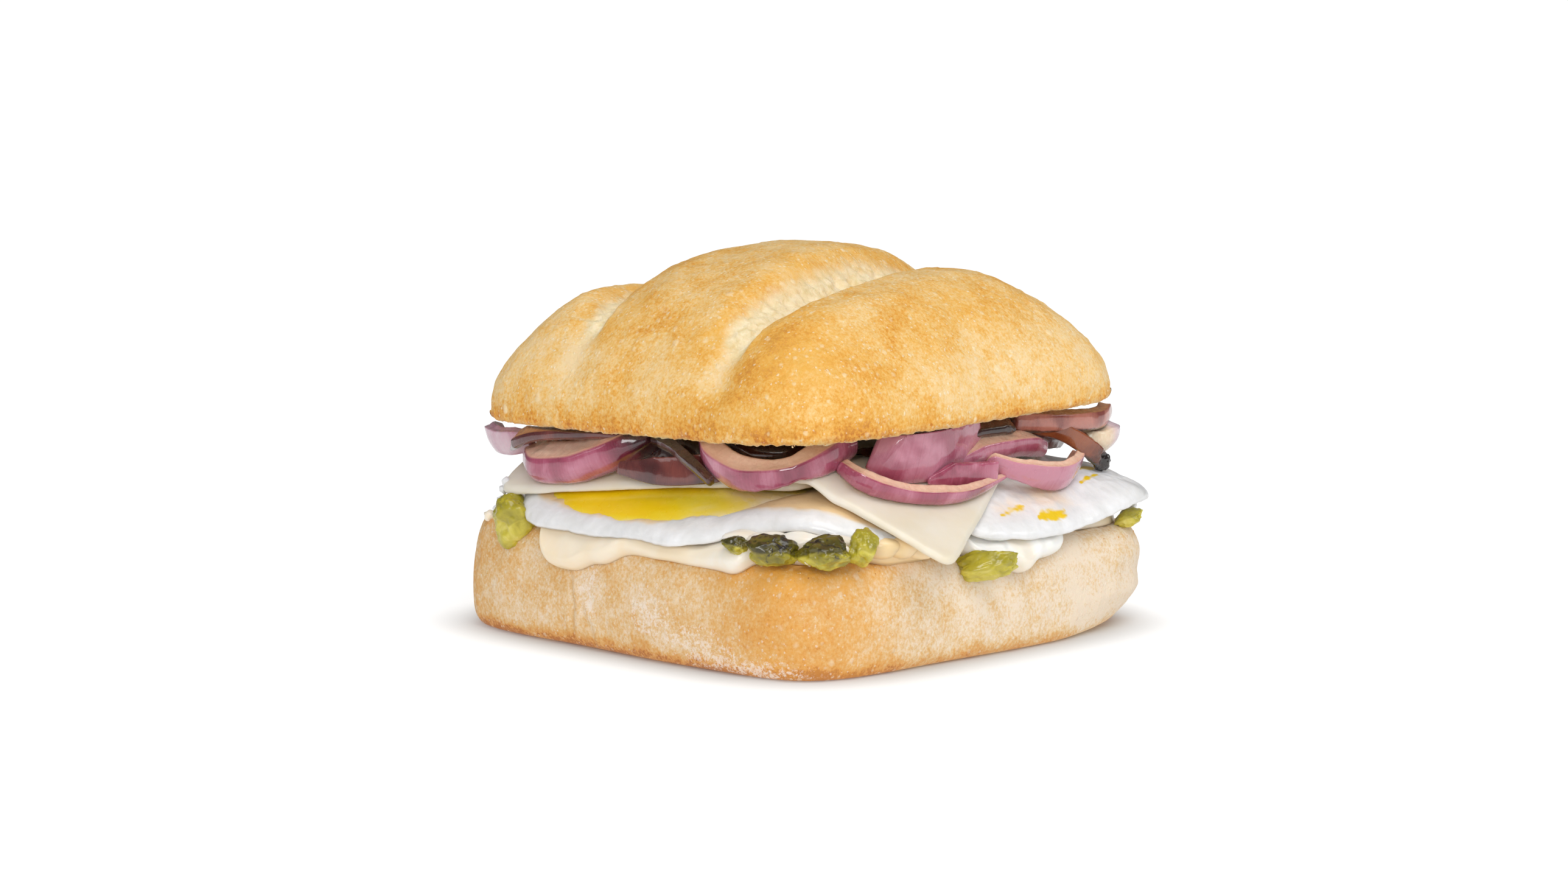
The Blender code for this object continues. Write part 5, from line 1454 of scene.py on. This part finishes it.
def buildOnion(name, path, spec, seed, nodes=()):
    count = onionStyle["along"]
    line = curveThrough(path, count)
    along = np.gradient(line, axis=0)
    along /= np.linalg.norm(along, axis=1, keepdims=True)
    x, y = line[:, 0], line[:, 1]
    up = np.stack([-(crown(x + 1, y) - crown(x - 1, y)) / 2, -(crown(x, y + 1) - crown(x, y - 1)) / 2,
                   np.ones(count)], -1)
    up -= (up * along).sum(1, keepdims=True) * along
    up /= np.linalg.norm(up, axis=1, keepdims=True)
    out = np.cross(along, up)
    tilt = math.radians(spec["lean"])
    up, out = up * math.cos(tilt) + out * math.sin(tilt), out * math.cos(tilt) - up * math.sin(tilt)
    t = np.linspace(0, 1, count)
    share = np.interp(t, *zip(*spec.get("ends", onionStyle["ends"])))
    tip = np.sqrt(np.clip(np.minimum(t, 1 - t) / 0.02, 0.06, 1))
    inward, rise, skin = onionSection(onionStyle["section"]).T
    run = np.concatenate([[0], np.cumsum(np.linalg.norm(np.diff(line, axis=0), axis=1))])
    wallWave = 1 + 0.12 * uneven(np.stack([run, 0 * run, 0 * run + seed], -1), 8, 111)
    wall = spec["wall"] * share ** 0.6 * tip ** 0.5 * wallWave
    height = spec["height"] * share * tip ** 0.3
    a = 0.5 * spec["wall"] + (inward[None, :] - 0.5) * wall[:, None]
    b = 0.1 * spec["height"] + (rise[None, :] - 0.1) * height[:, None]
    grid = line[:, None] - out[:, None] * a[..., None] + up[:, None] * b[..., None]
    normal = slopeNormals(grid, True)
    normal = normal * np.sign((normal * (grid - grid.mean(1, keepdims=True))).sum(-1).mean())
    shift = grid + seed * 31.7
    wrinkle = onionStyle["wrinkle"] * (layered(shift, 8, 113) + 0.2 * layered(shift, 2.4, 115))
    onCut = softStep(rise, 0.9, 1.0) * (1 - skin)
    ragged = onCut[None, :] * 0.16 * layered(shift, 2.2, 117, 2)
    crisp = spec.get("crisp", 0) * softStep(t, 0.62, 0.9)[:, None] * layered(shift, 1.5, 118)
    grid = grid + normal * (wrinkle + ragged + crisp)[..., None]
    lowest = cheeseTop(grid[..., 0], grid[..., 1]) + onionStyle["overCheese"]
    underTop = beyondRim(grid[..., 0], grid[..., 1], topRoll["half"], topRoll["power"]) < 2.5
    highest = topCutLevel(grid[..., 0], grid[..., 1]) - onionStyle["underRoll"]
    grid[..., 2] = np.where(underTop, np.minimum(grid[..., 2], highest), grid[..., 2])
    grid[..., 2] = np.maximum(grid[..., 2], lowest)
    shape = grid.shape[:2]
    skinMask = np.broadcast_to(softStep(skin, 0.3, 0.9), shape)
    if spec.get("bare"):
        skinMask = np.ones(shape)
    elif spec.get("peeled"):
        skinMask = np.broadcast_to(softStep(t, 0.5, 0.75)[:, None], shape)
    ends = np.exp(-np.minimum(t, 1 - t) * run[-1] / 1.2)[:, None]
    toast = 0.5 * ends + 0.1 * layered(shift, 6, 119) + 0.02
    toast = toast + spec.get("burntEnd", 0) * softStep(t, 0.5, 0.92)[:, None]
    foot = 1 - softStep(rise, 0.0, 0.14 + 0.2 * spec.get("burntFoot", 0))
    toast = toast + (0.2 + spec.get("burntFoot", 0)) * foot[None, :] * (spec["tone"] != "pale")
    deep = spec.get("deep", 0) + spec.get("deepEnd", 0) * softStep(t, 0.5, 0.95)
    depthMask = np.full(shape, 0.5) if spec.get("peeled") else np.broadcast_to(inward[None, :], shape)
    masks = {"skin": skinMask, "toast": np.clip(toast, 0, 1.2),
             "deep": np.broadcast_to(deep[:, None], shape),
             "along": np.broadcast_to(run[:, None] + seed * 9, shape),
             "across": np.broadcast_to(rise[None, :], shape), "inward": depthMask}
    makeRinged(name, grid, onionFinish[spec["tone"]], nodes, masks)


def buildOnions():
    for seed, spec in enumerate(onionStrips + insideStrips):
        nodes = ["onion_" + spec["name"]] if spec in onionStrips else []
        buildOnion("onion" + joined(spec["name"]), seenFromCorner(*np.array(spec["path"]).T), spec, seed,
                   nodes)
    for k, (heading, inset, radius, halfArc, lift, height, tone) in enumerate(farStrips["strips"]):
        spec = {"height": height, "wall": farStrips["wall"], "lean": farStrips["lean"], "tone": tone,
                "deep": farStrips["deep"]}
        path = farPath(heading, inset, radius, halfArc, lift)
        buildOnion(f"onionFar{k + 1}", path, spec, 30 + k, [f"onion_back_{k + 1:02d}"])
    print("onion done")


buildOnions()


# Green chile

chiles = {
    "fineness": 5, "sides": 7, "seed": 13.1,
    # depth and width of the unevenness, on a ball one unit in radius
    "swell": [(0.34, 0.8, 121), (0.16, 0.4, 123)], "skinBumps": [(0.06, 0.2, 125), (0.03, 0.1, 127)],
    # across, away, up, then half sizes along those three, a turn and the finish
    "pieces": [
        ("left", (-59.6, -13.2, 24.0), (5.2, 4.4, 5.2), -45, "green"),
        ("near_scrap", (-13.8, -60.5, 26.6), (2.7, 2.4, 1.7), -20, "charred"),
        ("near_dark", (-6.9, -65.0, 26.2), (5.2, 3.8, 3.0), -12, "charred"),
        ("near_middle", (3.7, -67.0, 25.9), (5.0, 3.8, 3.1), 8, "charred"),
        ("near_bright", (11.2, -64.3, 26.8), (3.1, 3.2, 3.6), 30, "green"),
        ("right_face", (36.4, -43.4, 19.4), (6.4, 2.4, 2.9), 45, "green"),
        ("right_corner", (67.4, -3.0, 22.6), (2.8, 2.6, 1.8), 60, "green"),
        ("back_right", (34.0, 35.5, 24.4), (5.4, 3.6, 3.2), -45, "green"),
        ("back", (-6.0, 66.2, 24.2), (5.2, 3.8, 3.1), 10, "charred"),
        ("back_left", (-43.5, 27.0, 24.3), (5.6, 3.6, 3.1), 45, "green"),
    ],
}


def ballPoints(fineness):
    ball = bpy.data.meshes.new("ballGuide")
    shape = bmesh.new()
    bmesh.ops.create_icosphere(shape, subdivisions=fineness, radius=1.0)
    shape.to_mesh(ball)
    shape.free()
    points = np.zeros(len(ball.vertices) * 3)
    ball.vertices.foreach_get("co", points)
    faces = [list(face.vertices) for face in ball.polygons]
    bpy.data.meshes.remove(ball)
    return points.reshape(-1, 3), faces


def chopped(points, sides, seed):
    # Flat faces cut off a round lump, their corners left soft
    for k in range(sides):
        turn = 2.4 * k + seed
        lift = math.asin(2 * (k + 0.5) / sides - 1)
        face = np.array((math.cos(turn) * math.cos(lift), math.sin(turn) * math.cos(lift), math.sin(lift)))
        over = softRamp(points @ face - 0.66, 0.5)
        points = points - over[:, None] * face * 0.8
    return points


def buildChiles():
    ball, faces = ballPoints(chiles["fineness"])
    for k, (name, centre, radii, turn, tone) in enumerate(chiles["pieces"]):
        shift = ball + k * chiles["seed"]
        swell, bumps = (sum(depth * uneven(shift, size, seed) for depth, size, seed in chiles[kind])
                        for kind in ("swell", "skinBumps"))
        shape = chopped(ball * (1.08 + swell)[:, None], chiles["sides"], k)
        shape = shape * (1 + bumps)[:, None] * np.array(radii)
        shape[:, 2] += shape[:, 0] * math.sin(math.radians(turn)) * 0.25
        points = seenFromCorner(*(centre + shape).T)
        outer = np.clip(0.5 + 0.9 * ball[:, 2] + 0.5 * uneven(shift, 0.9, 129), 0, 1)
        makePiece("chile" + joined(name), points, faces, chileFinish[tone], ["chile_" + name],
                  {"outer": outer})
    print("chile done")


buildChiles()


# Small loose bits: curds and drops by the eggs, crumbs on the cut edges

extras = {
    "fineness": 3,
    # each lump: across, away, up, radius; then its masks, how far it is drawn out sideways and its unevenness
    "eggCurds": {"lumps": [(-62.0, -8.6, 31.0, 1.2), (-62.8, -7.6, 29.4, 1.0), (-64.5, -6.4, 25.0, 0.8),
                           (-63.4, -7.8, 27.2, 0.9), (67.8, -1.0, 26.2, 1.4), (68.3, 0.4, 24.8, 1.0)],
                 "masks": {"halo": 0.05, "yolk": 0.0}, "drawnOut": 1.0, "unevenness": 0.28},
    "sauceDrops": {"lumps": [(0.9, -66.6, 26.4, 1.5), (0.6, -67.4, 24.6, 1.1), (7.6, -65.8, 26.4, 1.1),
                             (-66.0, -4.6, 23.4, 1.2)],
                   "masks": {"golden": 0.25}, "drawnOut": 1.0, "unevenness": 0.28},
    # flat ones that fill the gap behind the chiles at the near corner
    "sauceFilling": {"lumps": [(-12.0, -56.5, 27.2, 3.0), (-7.0, -58.8, 27.0, 3.2),
                               (-1.0, -59.6, 27.0, 3.4),
                               (5.0, -59.4, 27.0, 3.4), (10.0, -58.0, 27.2, 3.0)],
                     "masks": {"golden": 0.2}, "drawnOut": 1.6, "unevenness": 0.12},
    # yellow sauce under the front corner of the cheese
    "goldenSauce": {"lumps": [(14.8, -56.4, 25.6, 3.2), (18.6, -54.6, 25.4, 3.4), (22.6, -52.2, 24.8, 3.2)],
                    "masks": {"golden": 0.8}, "drawnOut": 1.3, "unevenness": 0.15},
}
crumbs = {
    "count": 170, "seed": 7, "sizes": (0.1, 0.3), "rimHeights": (20.5, 23.9), "underTop": (1.6, 3.0),
    "sunk": (0.1, 0.9), "browning": (0.4, 1.0),
}


def buildLumps(name, finish):
    spec = extras[name]
    ball, faces = ballPoints(extras["fineness"])
    points, allFaces = [], []
    for k, (across, away, up, radius) in enumerate(spec["lumps"]):
        swell = 1 + spec["unevenness"] * uneven(ball + 7.3 * k, 0.9, 131)
        shape = ball * swell[:, None] * radius
        allFaces += [[v + k * len(ball) for v in face] for face in faces]
        points.append(seenFromCorner(across + shape[:, 0] * spec["drawnOut"], away + shape[:, 1],
                                     up + shape[:, 2] / spec["drawnOut"]))
    points = np.vstack(points)
    masks = {mask: np.full(len(points), value) for mask, value in spec["masks"].items()}
    makePiece(name, points, allFaces, finish, (), masks)


def buildCrumbs():
    spec = crumbs
    ball, faces = ballPoints(1)
    random = np.random.default_rng(spec["seed"])
    count = spec["count"]
    headings = random.uniform(-math.pi, math.pi, count * 2)
    height = random.uniform(*spec["rimHeights"], count)
    inset = np.interp(height, *zip(*[(h, i) for i, h in bottomRoll["profile"]]))
    onRim = rimPoint(headings[:count], inset, height)
    turn = headings[count:]
    radius = outlineRadius(turn, topRoll["half"], topRoll["power"]) - random.uniform(*spec["underTop"],
                                                                                     count)
    x, y = radius * np.cos(turn) + topRoll["shift"], radius * np.sin(turn) + topRoll["shift"]
    underTop = np.stack([x, y, topCutLevel(x, y) + random.uniform(*spec["sunk"], count)], -1)
    spots = np.vstack([onRim, underTop])
    low, high = spec["sizes"]
    points, allFaces, brown = [], [], []
    for k, spot in enumerate(spots):
        radius = low + (high - low) * random.uniform() ** 2
        shape = ball * random.uniform(0.6, 1.3, (len(ball), 1)) * random.uniform(0.7, 1.3, 3) * radius
        allFaces += [[v + k * len(ball) for v in face] for face in faces]
        points.append(spot + shape)
        brown.append(np.full(len(ball), random.uniform(*spec["browning"])))
    masks = {"browning": np.concatenate(brown), "opened": np.zeros(len(spots) * len(ball))}
    makePiece("looseCrumbs", np.vstack(points), allFaces, bottomCrust, (), masks)


buildLumps("eggCurds", eggWhite)
for lumpName in ("sauceDrops", "sauceFilling", "goldenSauce"):
    buildLumps(lumpName, creamySauce)
buildCrumbs()
print("loose bits done")


# Studio

studio = {
    "lens": 135.0, "sensor": 36.0, "azimuth": 45.0, "elevation": 8.5, "distance": 1.229, "aim": 0.040,
    # the middle of the sandwich in the picture, and the picture itself, in pixels
    "picture": (2576, 1449), "middle": (1324, 712),
    "skyFill": 0.47, "skyMirrored": 0.12, "sunPower": 1.12, "sunSpread": 40.0, "sunFrom": (80.0, 62.0),
    # the floor glows: floorGlow, seen by all but the camera, is painted bounce light on the food;
    # backdropLift whitens the floor for the camera only
    "floorReach": 6.0, "floorGrey": 0.5, "floorGlow": 0.45, "backdropLift": 0.66,
    "shadowOutline": (0.48, 0.7),  # in tenths of a metre from the middle, where the lift sets in
    # azimuth, elevation and distance of each lamp, its size in metres and its power
    "lampAim": (0, 0, 0.04),
    "lamps": {"frontSoftbox": ((40.0, 22.0, 1.3), (0.5, 0.44), 4.6),
              "rightSoftbox": ((124.0, 28.0, 1.3), (0.36, 0.3), 1.3),
              "leftFill": ((-22.0, 24.0, 1.3), (0.32, 0.34), 0.5)},
}


def direction(azimuth, elevation):
    a, e = math.radians(azimuth), math.radians(elevation)
    return Vector((math.sin(a) * math.cos(e), -math.cos(a) * math.cos(e), math.sin(e)))


def addToScene(name, data, spot=(0, 0, 0), facing=None):
    # facing is the way that it looks or shines
    added = bpy.data.objects.new(name, data)
    added.location = spot
    if facing:
        added.rotation_euler = facing.to_track_quat("-Z", "Y").to_euler()
    bpy.context.scene.collection.objects.link(added)
    return added


def addSoftLight(name, spot, size, power):
    light = bpy.data.lights.new(name, "AREA")
    light.shape = "RECTANGLE"
    light.size, light.size_y = size
    light.energy = power
    place = direction(*spot[:2]) * spot[2]
    addToScene(name, light, place, Vector(studio["lampAim"]) - place)


def buildFloor():
    reach = studio["floorReach"]
    mesh = bpy.data.meshes.new("studioFloor")
    mesh.from_pydata([(-reach, -reach, 0), (reach, -reach, 0), (reach, reach, 0), (-reach, reach, 0)],
                     [], [(0, 1, 2, 3)])
    grey = studio["floorGrey"]
    mat, tree, shader = startMaterial("studioWhite", {"Roughness": 0.9, "Specular IOR Level": 0.1,
                                                      "Base Color": (grey, grey, grey, 1),
                                                      "Emission Color": (1, 1, 1, 1)})
    seen = addNode(tree, "ShaderNodeLightPath").outputs["Is Camera Ray"]
    side = addNode(tree, "ShaderNodeSeparateXYZ", {0: here(tree)}).outputs
    sides = [calc(tree, "POWER", calc(tree, "ABSOLUTE", times(tree, side[k], 10.0)), 4.0) for k in (0, 1)]
    out = calc(tree, "POWER", plus(tree, *sides), 0.25)
    # no lift within the outline round the roll, so the floor there is painted darker as a contact shadow, on
    # top of the lamps' real shadow
    lifted = times(tree, remap(tree, out, *studio["shadowOutline"]), studio["backdropLift"])
    glow = addNode(tree, "ShaderNodeMix", {0: seen, 2: studio["floorGlow"], 3: lifted}).outputs[0]
    wire(tree, shader, Emission_Strength=glow)
    mesh.materials.append(mat)
    addToScene("studioFloor", mesh)


def buildSky():
    world = bpy.data.worlds.new("studioSky")
    world.use_nodes = True
    tree = world.node_tree
    sky = tree.nodes["Background"]
    sky.inputs["Color"].default_value = (1, 1, 1, 1)
    mirrored = addNode(tree, "ShaderNodeLightPath").outputs["Is Glossy Ray"]
    wire(tree, sky, Strength=remap(tree, mirrored, 0.0, 1.0, studio["skyFill"], studio["skyMirrored"]))
    bpy.context.scene.world = world


def buildStudio():
    buildFloor()
    buildSky()
    sunlight = bpy.data.lights.new("broadKey", "SUN")
    sunlight.energy, sunlight.angle = studio["sunPower"], math.radians(studio["sunSpread"])
    addToScene("broadKey", sunlight, facing=-direction(*studio["sunFrom"]))
    for name, (spot, size, power) in studio["lamps"].items():
        addSoftLight(name, spot, size, power)
    lens = bpy.data.cameras.new("photoCamera")
    lens.lens, lens.sensor_width = studio["lens"], studio["sensor"]
    wide, high = studio["picture"]
    lens.shift_x = -(studio["middle"][0] - wide / 2) / wide
    lens.shift_y = (studio["middle"][1] - high / 2) / wide
    away = direction(studio["azimuth"], studio["elevation"])
    camera = addToScene("photoCamera", lens, Vector((0, 0, studio["aim"])) + away * studio["distance"],
                        -away)
    bpy.context.scene.camera = camera
    bpy.context.scene.view_settings.view_transform = "Standard"


buildStudio()
print("studio done")

bpy.context.view_layer.update()
